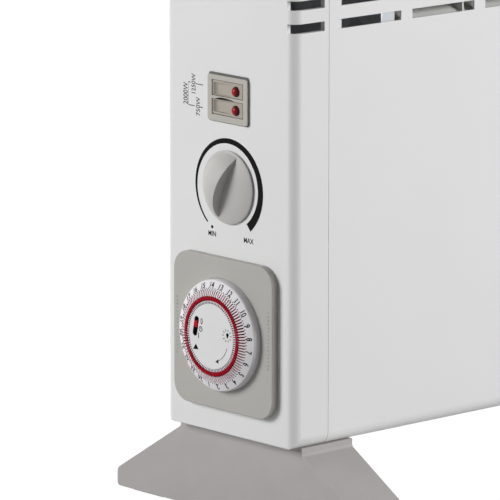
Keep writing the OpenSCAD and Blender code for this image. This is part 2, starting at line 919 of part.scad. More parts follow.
module thermostat_body() {
    color("tan")
        end_frame(knob_v)
            difference() {
                union() {
                    translate([-stat_w / 2, -stat_h / 2, stat_z])
                        cube([stat_w, stat_h, stat_deep]);
                    translate([0, 0, stat_z + stat_deep - bite])
                        cylinder(h = stat_boss + bite, r = 2 * shaft_r);
                    for (side = [-1, 1])
                        translate([side * stat_screw_gap / 2, 0, stat_z + stat_boss])
                            cylinder(h = stat_deep, r = screw_r + stat_wall);
                    for (side = [-1, 0, 1])
                        translate([side * tab_pitch - tab_t / 2, -tab_w / 2, stat_z - tab_l])
                            cube([tab_t, tab_w, tab_l + bite]);
                }
                translate([0, 0, stat_z + stat_deep / 4])
                    cylinder(h = 2 * stat_deep, r = shaft_r + run_gap);
                for (side = [-1, 1])
                    translate([side * stat_screw_gap / 2, 0, stat_z + stat_deep / 3])
                        cylinder(h = 2 * stat_deep, r = screw_r + screw_gap);
            }
}

module thermostat_shaft() {
    color("gold")
        end_frame(knob_v)
            translate([0, 0, stat_z + stat_deep / 4 + bite])
                cylinder(h = shaft_top - stat_z - stat_deep / 4 - bite, r = shaft_r);
}

module thermostat_knob() {
    steps = 14;
    color("lightgray")
        end_frame(knob_v)
            difference() {
                union() {
                    rotate_extrude($fn = 96)
                        polygon(concat(
                            [[0, knob_gap], [knob_d / 2, knob_gap]],
                            [for (i = [0 : steps]) (knob_d / 2) * [cos(90 * i / steps), 0]
                                + [0, knob_z(knob_d / 2 * cos(90 * i / steps))]]
                        ));
                    translate([0, 0, -cap_t + 0.3])
                        cylinder(h = cap_t + knob_gap, r = knob_hub_r);
                    rotate(-knob_rest)
                        intersection() {
                            translate([0, -grip_shift, knob_top + grip_rise - grip_ball_r])
                                sphere(grip_ball_r);
                            translate([-knob_d / 2, -knob_d / 2, knob_rim])
                                cube([knob_d / 2, knob_d, knob_dome + grip_rise + eps]);
                        }
                }
                translate([0, 0, -2 * cap_t])
                    cylinder(h = shaft_top + 0.1 + 2 * cap_t, r = shaft_r + 0.05);
            }
}

module thermostat_screws() {
    color("silver")
        end_frame(knob_v)
            for (side = [-1, 1])
                translate([side * stat_screw_gap / 2, 0, -screw_head_h])
                    screw(stat_deep * 0.7, screw_r, screw_head_r, screw_head_h - screw_gap);
}

// Double rocker switch

module rocker_place(side) {
    end_frame(switch_v)
        translate([0, side * window_v, -pivot_deep])
            rotate([0, -rocker_tilt, 0])
                children();
}

module pivot_pin(l, r) {
    rotate([90, 0, 0])
        cylinder(h = l, r = r, center = true);
}

module switch_housing() {
    core_w = bezel_w - 2 * bezel_lip;
    core_h = bezel_h - 2 * bezel_lip;
    color("tan")
        end_frame(switch_v)
            difference() {
                union() {
                    linear_extrude(bezel_proud)
                        rounded_box(bezel_w, bezel_h, bezel_r);
                    translate([0, 0, -switch_deep])
                        linear_extrude(switch_deep + 0.5)
                            rounded_box(core_w, core_h, 1);
                }
                for (side = [-1, 1])
                    translate([-window_w / 2, side * window_v - window_h / 2, -window_deep])
                        cube([window_w, window_h, window_deep + bezel_proud + eps]);
                translate([0, 0, -pivot_deep])
                    pivot_pin(core_h - 0.8, pivot_r + run_gap);
            }
}

module switch_tabs() {
    color("gold")
        end_frame(switch_v)
            for (row = [-1, 1], col = [-1, 0, 1])
                translate([col * tab_pitch - tab_t / 2, row * window_v - tab_w / 2, -switch_deep - tab_l])
                    cube([tab_t, tab_w, tab_l]);
}

module rocker_body(bar_side) {
    to_bar = (rocker_w + window_bar) / 2 + rocker_gap - 0.1;
    to_wall = rocker_w / 2 + 1.2;
    difference() {
        union() {
            intersection() {
                rotate([90, 0, 0])
                    cylinder(h = rocker_w, r = rocker_r, center = true);
                translate([-rocker_r, -rocker_w / 2, -rocker_skirt])
                    cube([2 * rocker_r, rocker_w, rocker_skirt + rocker_rise]);
            }
            translate([0, bar_side * (to_bar - to_wall) / 2, 0])
                pivot_pin(to_bar + to_wall, pivot_r);
        }
        translate([0, 0, dish_z])
            rotate([90, 0, 0])
                cylinder(h = 2 * rocker_w, r = dish_r, center = true);
        translate([lens_u, 0, lens_z - lens_seat])
            cylinder(h = rocker_r, r = lens_d / 2);
    }
}

module neon_lens(side) {
    rocker_place(side)
        translate([lens_u, 0, 0]) {
            translate([0, 0, lens_z - lens_seat])
                cylinder(h = lens_seat, r = lens_r);
            intersection() {
                translate([0, 0, lens_z + lens_rise - lens_dome_r])
                    sphere(lens_dome_r);
                translate([0, 0, lens_z - 0.1])
                    cylinder(h = lens_rise + 0.2, r = lens_r);
            }
        }
}

module rocker_1250w() {
    color("tan")
        rocker_place(1)
            rocker_body(-1);
}

module rocker_750w() {
    color("tan")
        rocker_place(-1)
            rocker_body(1);
}

module neon_lens_1250w() {
    color("red")
        neon_lens(1);
}

module neon_lens_750w() {
    color("red")
        neon_lens(-1);
}

// Timer plate, housing and fixed disc

// The plate's profile across its width or its height
module edge_profile(w) {
    polygon(rounded(
        [[-w / 2, 0], [w / 2, 0], [w / 2, plate_proud], [-w / 2, plate_proud]],
        [0, 0, plate_edge, plate_edge]
    ));
}

module timer_plate() {
    color("darkgray")
        timer_frame()
            difference() {
                intersection() {
                    linear_extrude(plate_proud)
                        rounded_box(plate_w, plate_h, plate_r);
                    translate([0, plate_h, 0])
                        rotate([90, 0, 0])
                            linear_extrude(2 * plate_h)
                                edge_profile(plate_w);
                    translate([-plate_w, 0, 0])
                        rotate([90, 0, 90])
                            linear_extrude(2 * plate_w)
                                edge_profile(plate_h);
                }
                translate([0, 0, recess_floor])
                    cylinder(h = plate_proud, r = dial_r + dial_gap);
                translate([0, 0, -eps])
                    cylinder(h = plate_proud, r = plate_hole_r);
                for (side = [-1, 1])
                    translate([side * timer_screw_at, 0, -eps])
                        cylinder(h = eps + timer_screw_l + 2 * fit, r = screw_r + screw_gap);
            }
}

module timer_housing() {
    color("dimgray")
        timer_frame()
            difference() {
                translate([0, 0, -timer_deep])
                    linear_extrude(timer_deep - 0.1)
                        rounded_box(timer_side, timer_side, 2);
                translate([0, 0, -timer_deep + timer_t])
                    linear_extrude(timer_deep)
                        rounded_box(timer_side - 2 * timer_t, timer_side - 2 * timer_t, 1);
            }
}

module movement_plate() {
    side = timer_side - 2 * timer_t - 0.4;
    color("goldenrod")
        timer_frame()
            difference() {
                union() {
                    translate([0, 0, movement_z])
                        linear_extrude(movement_t)
                            rounded_box(side, side, 1);
                    for (sx = [-1, 1], sy = [-1, 1])
                        translate([sx * (side / 2 - 3), sy * (side / 2 - 3), -timer_deep + timer_t])
                            cylinder(h = movement_z + timer_deep - timer_t + 0.5, r = 2);
                }
                translate([pinion_at, pinion_at, movement_z - eps])
                    cylinder(h = movement_t + 2 * eps, r = pinion_shaft_r + run_gap);
                translate([0, 0, movement_z + movement_t - 1])
                    cylinder(h = 2, r = stem_r + 0.02);
            }
}

module override_place(z) {
    translate([-override_u, override_v, z])
        rotate(-override_lean)
            children();
}

module timer_face() {
    color("white")
        timer_frame()
            difference() {
                union() {
                    translate([0, 0, face_floor])
                        cylinder(h = face_t, r = face_r);
                    translate([0, 0, movement_z + movement_t - 1])
                        cylinder(h = face_floor - movement_z - movement_t + 1.5, r = stem_r);
                }
                override_place(face_top - override_deep)
                    linear_extrude(override_deep + eps)
                        rounded_box(override_w, override_l, override_w / 2 - run_gap);
            }
}

module override_slider() {
    slider_w = override_w - 0.2;
    color("red")
        timer_frame()
            override_place(face_top - override_deep + run_gap)
                translate([0, slider_rest, 0])
                    linear_extrude(override_deep + slider_rise - run_gap)
                        rounded_box(slider_w, slider_l, slider_w / 2 - run_gap);
}

// Dial and tappets

module gear_ring(teeth, pitch_r, thick, z, phase) {
    step = 360 / teeth;
    root_r = pitch_r - dedendum;
    tip_r = pitch_r + addendum;
    root_half = 0.3 * step;
    tip_half = 0.13 * step;
    for (i = [0 : teeth - 1])
        rotate(phase + i * step)
            translate([0, 0, z])
                linear_extrude(thick)
                    polygon([
                        (root_r - 0.3) * [cos(root_half), -sin(root_half)],
                        root_r * [cos(root_half), -sin(root_half)],
                        tip_r * [cos(tip_half), -sin(tip_half)],
                        tip_r * [cos(tip_half), sin(tip_half)],
                        root_r * [cos(root_half), sin(root_half)],
                        (root_r - 0.3) * [cos(root_half), sin(root_half)]
                    ]);
}

module timer_dial() {
    root_r = dial_gear_r - dedendum;
    rim_round = 1;
    neck_r = face_r - 1;
    step = 360 / tappets;
    color("white")
        timer_frame() {
            rotate_extrude($fn = 96)
                polygon([
                    [dial_bore_r, -gear_deep],
                    [root_r, -gear_deep],
                    [root_r, -gear_deep + gear_t],
                    [neck_r, -gear_deep + gear_t],
                    [neck_r, dial_bottom],
                    [dial_r, dial_bottom],
                    [dial_r, dial_rim - rim_round / 2],
                    [dial_r - rim_round, dial_rim + dial_slope * rim_round],
                    [groove_r, groove_top],
                    [groove_r, groove_floor],
                    [groove_in, groove_floor],
                    [groove_in, inner_ring_top],
                    [face_r + face_gap, inner_ring_top],
                    [face_r + face_gap, dial_hub_top],
                    [dial_bore_r, dial_hub_top]
                ]);
            gear_ring(dial_teeth, dial_gear_r, gear_t, -gear_deep, 180 / dial_teeth);
            for (i = [0 : tappets - 1])
                rotate((i + 0.5) * step)
                    translate([0, rib_t / 2, 0])
                        rotate([90, 0, 0])
                            linear_extrude(rib_t)
                                polygon([
                                    [rib_in, groove_floor - 0.3],
                                    [groove_r + 0.3, groove_floor - 0.3],
                                    [groove_r + 0.3, groove_top - 0.2],
                                    [rib_in, rib_top - 0.2]
                                ]);
        }
}

module tappet(place) {
    timer_frame()
        rotate(place * 360 / tappets)
            translate([groove_in + fit, -tappet_w / 2, groove_floor + run_gap])
                cube([tappet_l, tappet_w, tappet_h]);
}

// The four tappets of the first hour slide by themselves, and the others are one set
module timer_tappets() {
    color("crimson")
        for (place = [4 : tappets - 1])
            tappet(place);
}

module tappet_1() {
    color("crimson")
        tappet(0);
}

module tappet_2() {
    color("crimson")
        tappet(1);
}

module tappet_3() {
    color("crimson")
        tappet(2);
}

module tappet_4() {
    color("crimson")
        tappet(3);
}

// Timer movement

module timer_motor() {
    gearbox_w = timer_side - 20;
    color("silver")
        timer_frame()
            difference() {
                union() {
                    translate([motor_at, motor_at, motor_slot])
                        cylinder(h = motor_t, r = motor_r);
                    translate([pinion_at, pinion_at, motor_top - 0.5])
                        cylinder(h = movement_z - motor_top + 0.5, r = 3);
                    translate([-gearbox_w / 2, -gearbox_w / 2, -timer_deep + timer_t])
                        cube([gearbox_w, gearbox_w, motor_slot + timer_deep - timer_t]);
                }
                translate([pinion_at, pinion_at, motor_top - 6])
                    cylinder(h = motor_t, r = pinion_shaft_r + run_gap);
            }
}

module timer_pinion() {
    root_r = pinion_r - dedendum;
    color("gold")
        timer_frame()
            translate([pinion_at, pinion_at, 0]) {
                translate([0, 0, -gear_deep])
                    cylinder(h = gear_t, r = root_r);
                gear_ring(pinion_teeth, pinion_r, gear_t, -gear_deep, 0);
                translate([0, 0, motor_top - 5])
                    cylinder(h = -gear_deep - motor_top + 5.5, r = pinion_shaft_r);
            }
}

module timer_microswitch() {
    side = 10;
    corner = timer_side / 2 - timer_t - 0.3;
    color("black")
        timer_frame()
            translate([-corner, -corner, movement_z + movement_t]) {
                cube([side, side, 8]);
                translate([side - 3, side - 3, 7.5])
                    cylinder(h = 2, r = 1.2);
            }
}

module timer_screws() {
    color("silver")
        timer_frame()
            for (side = [-1, 1])
                translate([side * timer_screw_at, 0, -cap_t])
                    mirror([0, 0, 1])
                        screw(cap_t + timer_screw_l, screw_r, screw_head_r, screw_head_h);
}

// Wiring

module terminal_block() {
    color("beige")
        difference() {
            translate([bulkhead_x - block_t, -block_w / 2, body_lift + gland_v - block_h / 2])
                cube([block_t, block_w, block_h]);
            for (i = [0 : block_ways - 1])
                translate([bulkhead_x - block_t - eps, (i - 1) * block_w / block_ways, body_lift + gland_v])
                    rotate([0, 90, 0])
                        cylinder(h = block_t / 2 + eps, r = block_bore_r);
        }
}

// A straight stretch of wire between two points that share two of their coordinates
module wire_run(from, to, r) {
    d = to - from;
    translate(from)
        rotate([0, acos(d.z / norm(d)), atan2(d.y, d.x)])
            cylinder(h = norm(d), r = r);
}

// Wires squared through their corners, each corner held in a small sleeve
module wire(points, r) {
    sleeve = 2 * r + 0.6;
    for (i = [0 : len(points) - 2])
        wire_run(points[i], points[i + 1], r);
    for (i = [1 : len(points) - 2])
        translate(points[i] - [sleeve, sleeve, sleeve] / 2)
            cube(sleeve);
}

module wiring_loom() {
    block_y = -block_w / 2;
    switch_x = x_left + switch_deep + tab_l;
    tab_x = [switch_x, switch_x, x_left - stat_z + tab_l];
    tab_y = [tab_pitch, 0, -tab_pitch];
    tab_v = [switch_v - window_v, switch_v + window_v, knob_v];
    color("firebrick")
        for (i = [0 : 2]) {
            x = bulkhead_x - wire_pitch * (i + 1.2);
            y = block_y - wire_pitch * (i + 0.9);
            wire(
                [
                    [x, block_y, body_lift + gland_v],
                    [x, y, body_lift + gland_v],
                    [x, y, body_lift + tab_v[i]],
                    [x, tab_y[i], body_lift + tab_v[i]],
                    [tab_x[i], tab_y[i], body_lift + tab_v[i]]
                ],
                wire_r
            );
        }
}

module cord_gland() {
    color("dimgray")
        translate([x_left + gland_s, body_d / 2 + gland_flange_t, body_lift + gland_v])
            rotate([90, 0, 0])
                difference() {
                    union() {
                        cylinder(h = gland_flange_t, r = gland_flange_r);
                        cylinder(h = gland_l, r = gland_neck_r);
                    }
                    translate([0, 0, -eps])
                        cylinder(h = gland_l + 2 * eps, r = gland_bore_r);
                }
}

// Feet and fasteners

module foot_screw_places() {
    for (side = [-1, 1], y = [-foot_screw_y, foot_screw_y])
        translate([x_mid + side * (body_w / 2 - foot_screw_s), y, body_lift])
            children();
}

module foot() {
    edge_z = pad_h + foot_tip_h;
    neck_z = body_lift - foot_neck;
    tip = foot_len / 2;
    difference() {
        translate([x_left + foot_inset, 0, 0])
            rotate([90, 0, 90])
                linear_extrude(foot_t)
                    polygon(rounded(
                        [
                            [-tip, pad_h], [tip, pad_h], [tip, edge_z], [foot_half, neck_z],
                            [foot_half, body_lift], [-foot_half, body_lift], [-foot_half, neck_z],
                            [-tip, edge_z]
                        ],
                        [foot_low_r, foot_low_r, foot_tip_r, foot_low_r, 0, 0, foot_low_r, foot_tip_r]
                    ));
        foot_screw_places() {
            cylinder(h = 3 * body_lift, r = screw_r + screw_gap, center = true);
            translate([0, 0, -2 * body_lift - foot_web])
                cylinder(h = 2 * body_lift, r = screw_head_r + screw_gap);
        }
    }
}

module control_foot() {
    color("gray")
        foot();
}

module plain_foot() {
    color("gray")
        mirrored_end()
            foot();
}

module foot_pads() {
    color("black")
        for (side = [-1, 1], end = [-1, 1])
            translate([
                x_mid + side * (body_w / 2 - foot_inset - foot_t / 2) - pad_w / 2,
                end * (foot_len / 2 - pad_inset - pad_l / 2) - pad_l / 2,
                0
            ])
                cube([pad_w, pad_l, pad_h]);
}

module foot_screws() {
    color("silver")
        foot_screw_places()
            translate([0, 0, -foot_web])
                mirror([0, 0, 1])
                    screw(foot_web + foot_screw_up, screw_r, screw_head_r, screw_head_h);
}

module rear_screw_places() {
    for (side = [-1, 1], v = [rear_screw_inset, body_h / 2, body_h - rear_screw_inset])
        translate([x_mid + side * (body_w / 2 - cap_l - tongue_l / 2), body_d / 2, body_lift + v])
            rotate([-90, 0, 0])
                children();
}

module rear_screws() {
    color("silver")
        rear_screw_places()
            screw(cavity + 2, screw_r, screw_head_r, screw_head_h);
}

front_panel();
rear_panel();
base_grille();
outlet_grille();
control_end_cap();
plain_end_cap();
control_bulkhead();
plain_bulkhead();
heat_baffle();
element_bracket();
element_1250w();
element_750w();
ceramic_bushes();
thermal_cutout();
thermostat_body();
thermostat_shaft();
thermostat_knob();
thermostat_screws();
switch_housing();
switch_tabs();
rocker_1250w();
rocker_750w();
neon_lens_1250w();
neon_lens_750w();
timer_plate();
timer_housing();
movement_plate();
timer_face();
timer_dial();
timer_tappets();
tappet_1();
tappet_2();
tappet_3();
tappet_4();
override_slider();
timer_motor();
timer_pinion();
timer_microswitch();
timer_screws();
terminal_block();
wiring_loom();
cord_gland();
control_foot();
plain_foot();
foot_pads();
foot_screws();
rear_screws();
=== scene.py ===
"""The looks of a convector heater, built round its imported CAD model.

Shapes are drawn in millimetres and brought to metres when they are put in place. Pieces on the
control end are drawn in that end's own frame: x towards the front, y up, z out of the end face.
"""

import logging
import math
from collections.abc import Callable, Iterable, Sequence
from dataclasses import dataclass, field
from enum import Enum

import bpy
from mathutils import Matrix, Vector


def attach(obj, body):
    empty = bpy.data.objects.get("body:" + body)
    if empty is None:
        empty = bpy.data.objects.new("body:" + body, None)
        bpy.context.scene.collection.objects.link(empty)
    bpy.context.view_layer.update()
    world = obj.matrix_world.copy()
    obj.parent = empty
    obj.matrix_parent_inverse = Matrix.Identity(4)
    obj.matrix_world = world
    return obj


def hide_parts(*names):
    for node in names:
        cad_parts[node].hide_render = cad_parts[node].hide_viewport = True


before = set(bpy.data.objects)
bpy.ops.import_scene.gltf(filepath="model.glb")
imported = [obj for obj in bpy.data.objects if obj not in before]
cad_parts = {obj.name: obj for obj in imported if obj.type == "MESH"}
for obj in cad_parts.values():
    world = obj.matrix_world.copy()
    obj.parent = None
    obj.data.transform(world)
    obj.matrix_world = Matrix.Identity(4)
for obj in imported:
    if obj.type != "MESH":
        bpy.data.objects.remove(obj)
log = logging.getLogger("heater")

MM = 0.001
SMOOTH_ANGLE = math.radians(32)
DOUBLES = 0.0005  # points closer than this, in millimetres, are merged
CAP_SHARE = 0.72  # a capital's height as a share of the font's size
ROOT = 0.2  # how far a raised or joined piece reaches into what carries it
PLAY = 0.05  # the gap under a piece that slides
Point = tuple[float, float]
Point3 = tuple[float, float, float]
Object = bpy.types.Object


# Finishes


class Pattern(Enum):
    """How a finish varies over a surface."""

    CLOUD = "cloud"
    SPANGLE = "spangle"
    BRUSHED = "brushed"
    # Colour darkest at one end of a span along x and brightest at the other: painted shade and a
    # painted highlight.
    CROWN = "painted_shade"


def linear(shade: Point3) -> tuple[float, float, float, float]:
    """Turns a colour written as it looks on screen into Blender's linear values.

    Args:
        shade: Red, green and blue, each from 0 to 255.

    Returns:
        The linear colour with an alpha of 1.
    """

    def channel(value: float) -> float:
        """One channel on the linear scale."""
        part = value / 255
        return part / 12.92 if part <= 0.04045 else ((part + 0.055) / 1.055) ** 2.4

    return (*(channel(value) for value in shade), 1.0)


@dataclass(frozen=True)
class Finish:
    """One surface finish, with its colour, gloss and fine relief.

    Lengths are millimetres. spread is the share by which the colour varies, and roughness_spread
    the amount by which the gloss does. A finish with painted shade goes from its darkest, painted
    shade, to its brightest, a painted highlight, between the two places along x of its span.
    """

    name: str
    shade: Point3
    roughness: float
    spread: float = 0.02
    roughness_spread: float = 0.05
    metallic: float = 0.0
    coat: float = 0.0
    specular: float = 0.25
    transmission: float = 0.0
    patch: float = 18.0
    grain: float = 0.6
    relief: float = 0.02
    pattern: Pattern = Pattern.CLOUD
    fade: tuple[float, float] = (0.0, 1.0)

    def material(self) -> bpy.types.Material:
        """Builds the material once and returns it after that.

        Returns:
            The material, whose patterns read Object coordinates.
        """
        label = f"finish_{self.name}"
        known = bpy.data.materials.get(label)
        if known is not None:
            return known
        made = bpy.data.materials.new(label)
        made.use_nodes = True
        nodes, links = made.node_tree.nodes, made.node_tree.links
        shader = nodes["Principled BSDF"]
        shader.inputs["Metallic"].default_value = self.metallic
        shader.inputs["Coat Weight"].default_value = self.coat
        shader.inputs["Specular IOR Level"].default_value = self.specular
        shader.inputs["Transmission Weight"].default_value = self.transmission

        place = nodes.new("ShaderNodeTexCoord")
        turned = nodes.new("ShaderNodeMapping")
        links.new(place.outputs["Object"], turned.inputs["Vector"])
        if self.pattern is Pattern.BRUSHED:
            turned.inputs["Scale"].default_value = (0.04, 1.0, 1.0)

        if self.pattern is Pattern.SPANGLE:
            coarse = nodes.new("ShaderNodeTexVoronoi")
            wide = coarse.outputs["Color"]
        else:
            coarse = nodes.new("ShaderNodeTexNoise")
            coarse.inputs["Detail"].default_value = 3.0
            wide = coarse.outputs[0]
        coarse.inputs["Scale"].default_value = 1 / (self.patch * MM)
        links.new(turned.outputs["Vector"], coarse.inputs["Vector"])

        ramp = nodes.new("ShaderNodeValToRGB")
        base = linear(self.shade)
        for stop, factor in ((0, 1 - self.spread), (1, 1 + self.spread)):
            ramp.color_ramp.elements[stop].color = (*(min(1.0, c * factor) for c in base[:3]), 1.0)
        ramp.color_ramp.elements[0].position = 0.25
        ramp.color_ramp.elements[1].position = 0.75
        # Painted shade: the colour follows the place along x instead of the noise.
        if self.pattern is Pattern.CROWN:
            apart = nodes.new("ShaderNodeSeparateXYZ")
            along = nodes.new("ShaderNodeMapRange")
            along.inputs["From Min"].default_value = self.fade[0] * MM
            along.inputs["From Max"].default_value = self.fade[1] * MM
            links.new(place.outputs["Object"], apart.inputs["Vector"])
            links.new(apart.outputs["X"], along.inputs["Value"])
            links.new(along.outputs["Result"], ramp.inputs["Fac"])
        else:
            links.new(wide, ramp.inputs["Fac"])
        links.new(ramp.outputs["Color"], shader.inputs["Base Color"])

        gloss = nodes.new("ShaderNodeMapRange")
        gloss.inputs["To Min"].default_value = max(0.02, self.roughness - self.roughness_spread)
        gloss.inputs["To Max"].default_value = min(1.0, self.roughness + self.roughness_spread)
        links.new(wide, gloss.inputs["Value"])
        links.new(gloss.outputs["Result"], shader.inputs["Roughness"])

        fine = nodes.new("ShaderNodeTexNoise")
        fine.inputs["Scale"].default_value = 1 / (self.grain * MM)
        fine.inputs["Detail"].default_value = 2.0
        links.new(turned.outputs["Vector"], fine.inputs["Vector"])
        bump = nodes.new("ShaderNodeBump")
        bump.inputs["Strength"].default_value = 0.5
        bump.inputs["Distance"].default_value = self.relief * MM
        links.new(fine.outputs[0], bump.inputs["Height"])
        links.new(bump.outputs["Normal"], shader.inputs["Normal"])
        return made


WHITE_PAINT = Finish(
    "white_enamel", (232, 232, 232), 0.42, spread=0.01, patch=60, grain=1.1, relief=0.012
)
CAP_WHITE = Finish(
    "white_cap_enamel", (230, 230, 230), 0.45, spread=0.01, patch=60, grain=0.9, relief=0.012
)
LOUVRE_WHITE = Finish("louvre_enamel", (214, 214, 211), 0.5, patch=40)
GALVANISED = Finish(
    "galvanised_sheet", (176, 180, 184), 0.38, spread=0.16, roughness_spread=0.12, metallic=0.9,
    patch=9, pattern=Pattern.SPANGLE,
)
MILL_STEEL = Finish(
    "mill_steel", (150, 150, 152), 0.34, spread=0.1, metallic=0.9, patch=2, pattern=Pattern.BRUSHED
)
ELEMENT_STEEL = Finish(
    "scaled_element_steel", (92, 86, 82), 0.55, spread=0.2, metallic=0.7, patch=7
)
CERAMIC = Finish("steatite", (232, 224, 205), 0.55, spread=0.04, patch=5)
PHENOLIC = Finish("brown_phenolic", (92, 58, 38), 0.35, spread=0.1, patch=6)
NYLON = Finish("natural_nylon", (222, 214, 196), 0.4, spread=0.03, patch=10)
BRASS = Finish("tinned_brass", (196, 168, 98), 0.28, spread=0.08, metallic=1.0, patch=3)
KNOB_GREY = Finish(
    "knob_grey", (193, 191, 188), 0.5, spread=0.015, patch=14, grain=0.5, relief=0.015
)
SWITCH_GREY = Finish(
    "switch_grey", (186, 182, 175), 0.48, spread=0.02, patch=12, grain=0.4, relief=0.012
)
# Dark grey for the ring under the bezel: painted shade along the bezel's edges, not a seal.
BEZEL_PAINTED_SHADE_GREY = Finish("bezel_painted_shade_grey", (100, 99, 97), 0.6, spread=0.05, patch=6)
# The switch's grey plastic, darker than the bezel's as painted shade for the rockers' finger
# scoops.
ROCKER_PAINTED_SHADE_GREY = Finish(
    "rocker_grey_painted_shade", (170, 163, 153), 0.45, spread=0.02, patch=8, grain=0.4, relief=0.01
)
# The lens's red, darkened towards the dome's foot and lightened towards its top: painted shade and
# a painted highlight.
NEON_PAINTED_SHADE_RED = Finish(
    "neon_red_painted_shade", (126, 4, 20), 0.25, spread=0.72, roughness_spread=0.02, specular=0.15, patch=3,
    relief=0.002, pattern=Pattern.CROWN, fade=(-260.5, -262.3),
)
PLATE_GREY = Finish(
    "plate_grey", (180, 178, 173), 0.55, spread=0.02, patch=22, grain=0.5, relief=0.02
)
MOVEMENT_GREY = Finish("movement_grey", (120, 120, 118), 0.5, spread=0.05, patch=12)
DIAL_WHITE = Finish(
    "dial_white", (233, 231, 234), 0.5, spread=0.012, patch=16, grain=0.5, relief=0.01
)
FACE_WHITE = Finish(
    "face_white", (227, 228, 227), 0.5, spread=0.012, patch=16, grain=0.5, relief=0.01
)
# The dial's white with a pink cast: painted reflection of the red tappets' light.
RIB_PAINTED_RED_LIGHT = Finish("rib_white_painted_red_light", (248, 236, 240), 0.5, spread=0.02, patch=6)
WELL_BROWN = Finish("slot_dark_brown", (52, 40, 42), 0.7, spread=0.1, patch=4)
TAPPET_RED = Finish("tappet_red", (182, 5, 38), 0.5, spread=0.06, specular=0.12, patch=2)
# The tappets' red, much darkened: painted shade for the deep gaps between the ribs.
BED_PAINTED_SHADE_RED = Finish("tappet_bed_red_painted_shade", (74, 6, 18), 0.6, spread=0.1, patch=2)
CAN_ZINC = Finish("motor_can", (168, 170, 172), 0.32, spread=0.06, metallic=0.9, patch=6)
BLACK_PLASTIC = Finish("black_plastic", (30, 30, 31), 0.45, spread=0.1, patch=8)
WIRE_SLEEVE = Finish("wire_sleeve", (150, 44, 34), 0.5, spread=0.06, patch=5)
FOOT_GREY = Finish(
    "foot_grey", (177, 173, 172), 0.55, spread=0.03, patch=14, grain=0.5, relief=0.03
)
PAD_RUBBER = Finish("pad_rubber", (44, 43, 42), 0.85, spread=0.12, patch=4)
SCREW_ZINC = Finish("screw_zinc", (178, 180, 178), 0.3, spread=0.08, metallic=1.0, patch=3)
INK = Finish("printed_black", (18, 17, 17), 0.8, spread=0.1, specular=0.08, patch=3)
FINE_INK = Finish("printed_grey", (84, 83, 82), 0.8, spread=0.05, specular=0.08, patch=3)
SHADE_INK = Finish("printed_dark_grey", (36, 35, 35), 0.8, spread=0.08, specular=0.08, patch=3)


# Work at the bench


def clear() -> None:
    """Leaves edit mode and selects nothing."""
    if bpy.context.object is not None and bpy.context.object.mode != "OBJECT":
        bpy.ops.object.mode_set(mode="OBJECT")
    bpy.ops.object.select_all(action="DESELECT")


def pick(piece: Object, *others: Object) -> None:
    """Selects a piece, with any others, and makes it the active one.

    Args:
        piece: The piece that becomes the active one.
        others: The pieces that are selected with it.
    """
    clear()
    for one in (piece, *others):
        one.select_set(True)
    bpy.context.view_layer.objects.active = piece


def edit(piece: Object, select: bool = True) -> None:
    """Opens a piece in edit mode, with all of it selected or none of it.

    Args:
        piece: The piece.
        select: Whether all of it is selected.
    """
    pick(piece)
    bpy.ops.object.mode_set(mode="EDIT")
    bpy.ops.mesh.select_all(action="SELECT" if select else "DESELECT")


def close() -> None:
    """Merges doubled points, turns the faces outwards and leaves edit mode."""
    bpy.ops.mesh.select_all(action="SELECT")
    bpy.ops.mesh.remove_doubles(threshold=DOUBLES)
    bpy.ops.mesh.normals_make_consistent(inside=False)
    bpy.ops.object.mode_set(mode="OBJECT")


def draw(points: Sequence[Point3], closed: bool) -> Object:
    """Draws a line through points, left open in edit mode with all of it selected.

    Args:
        points: The places of the line's corners.
        closed: Whether the line is closed and filled with a face.

    Returns:
        The drawn piece.
    """
    clear()
    bpy.ops.mesh.primitive_plane_add(size=1)
    drawn = bpy.context.object
    bpy.ops.object.mode_set(mode="EDIT")
    bpy.ops.mesh.select_mode(type="VERT")
    bpy.ops.mesh.select_all(action="SELECT")
    bpy.ops.mesh.merge(type="CENTER")
    bpy.ops.transform.translate(value=points[0])
    for here, there in zip(points, points[1:]):
        step = tuple(b - a for a, b in zip(here, there))
        bpy.ops.mesh.extrude_region_move(TRANSFORM_OT_translate={"value": step})
    bpy.ops.mesh.select_all(action="SELECT")
    if closed:
        bpy.ops.mesh.edge_face_add()
    return drawn


def prism(points: Sequence[Point3], sweep: Point3) -> Object:
    """Draws a closed outline and extrudes it along a vector.

    Args:
        points: The outline's corners, all in one plane.
        sweep: The way from one end face to the other.

    Returns:
        The solid.
    """
    made = draw(points, closed=True)
    bpy.ops.mesh.extrude_region_move(TRANSFORM_OT_translate={"value": sweep})
    close()
    return made


def slab(points: Sequence[Point], low: float, high: float) -> Object:
    """A prism that stands on an outline drawn in x and y."""
    return prism([(x, y, low) for x, y in points], (0, 0, high - low))


def lathe(profile: Sequence[Point], steps: int = 96) -> Object:
    """Turns a closed profile, drawn in radius and height, round the z axis.

    Args:
        profile: The profile's corners, the last one joined to the first.
        steps: The number of flats round it.

    Returns:
        The turned solid.
    """
    made = draw([(r, 0, z) for r, z in (*profile, profile[0])], closed=False)
    bpy.ops.mesh.spin(steps=steps, angle=2 * math.pi, center=(0, 0, 0), axis=(0, 0, 1))
    close()
    return made


def settle(piece: Object) -> Object:
    """Brings a piece's place, turn and size into its mesh.

    Args:
        piece: The piece.

    Returns:
        The piece.
    """
    pick(piece)
    bpy.ops.object.transform_apply(location=True, rotation=True, scale=True)
    return piece


def block(low: Point3, high: Point3) -> Object:
    """A box between two opposite corners, to cut with or to be shaped further.

    Args:
        low: The corner with the least values.
        high: The corner with the greatest values.

    Returns:
        The box.
    """
    clear()
    bpy.ops.mesh.primitive_cube_add(size=1, location=[(a + b) / 2 for a, b in zip(low, high)])
    made = bpy.context.object
    made.scale = [b - a for a, b in zip(low, high)]
    return settle(made)


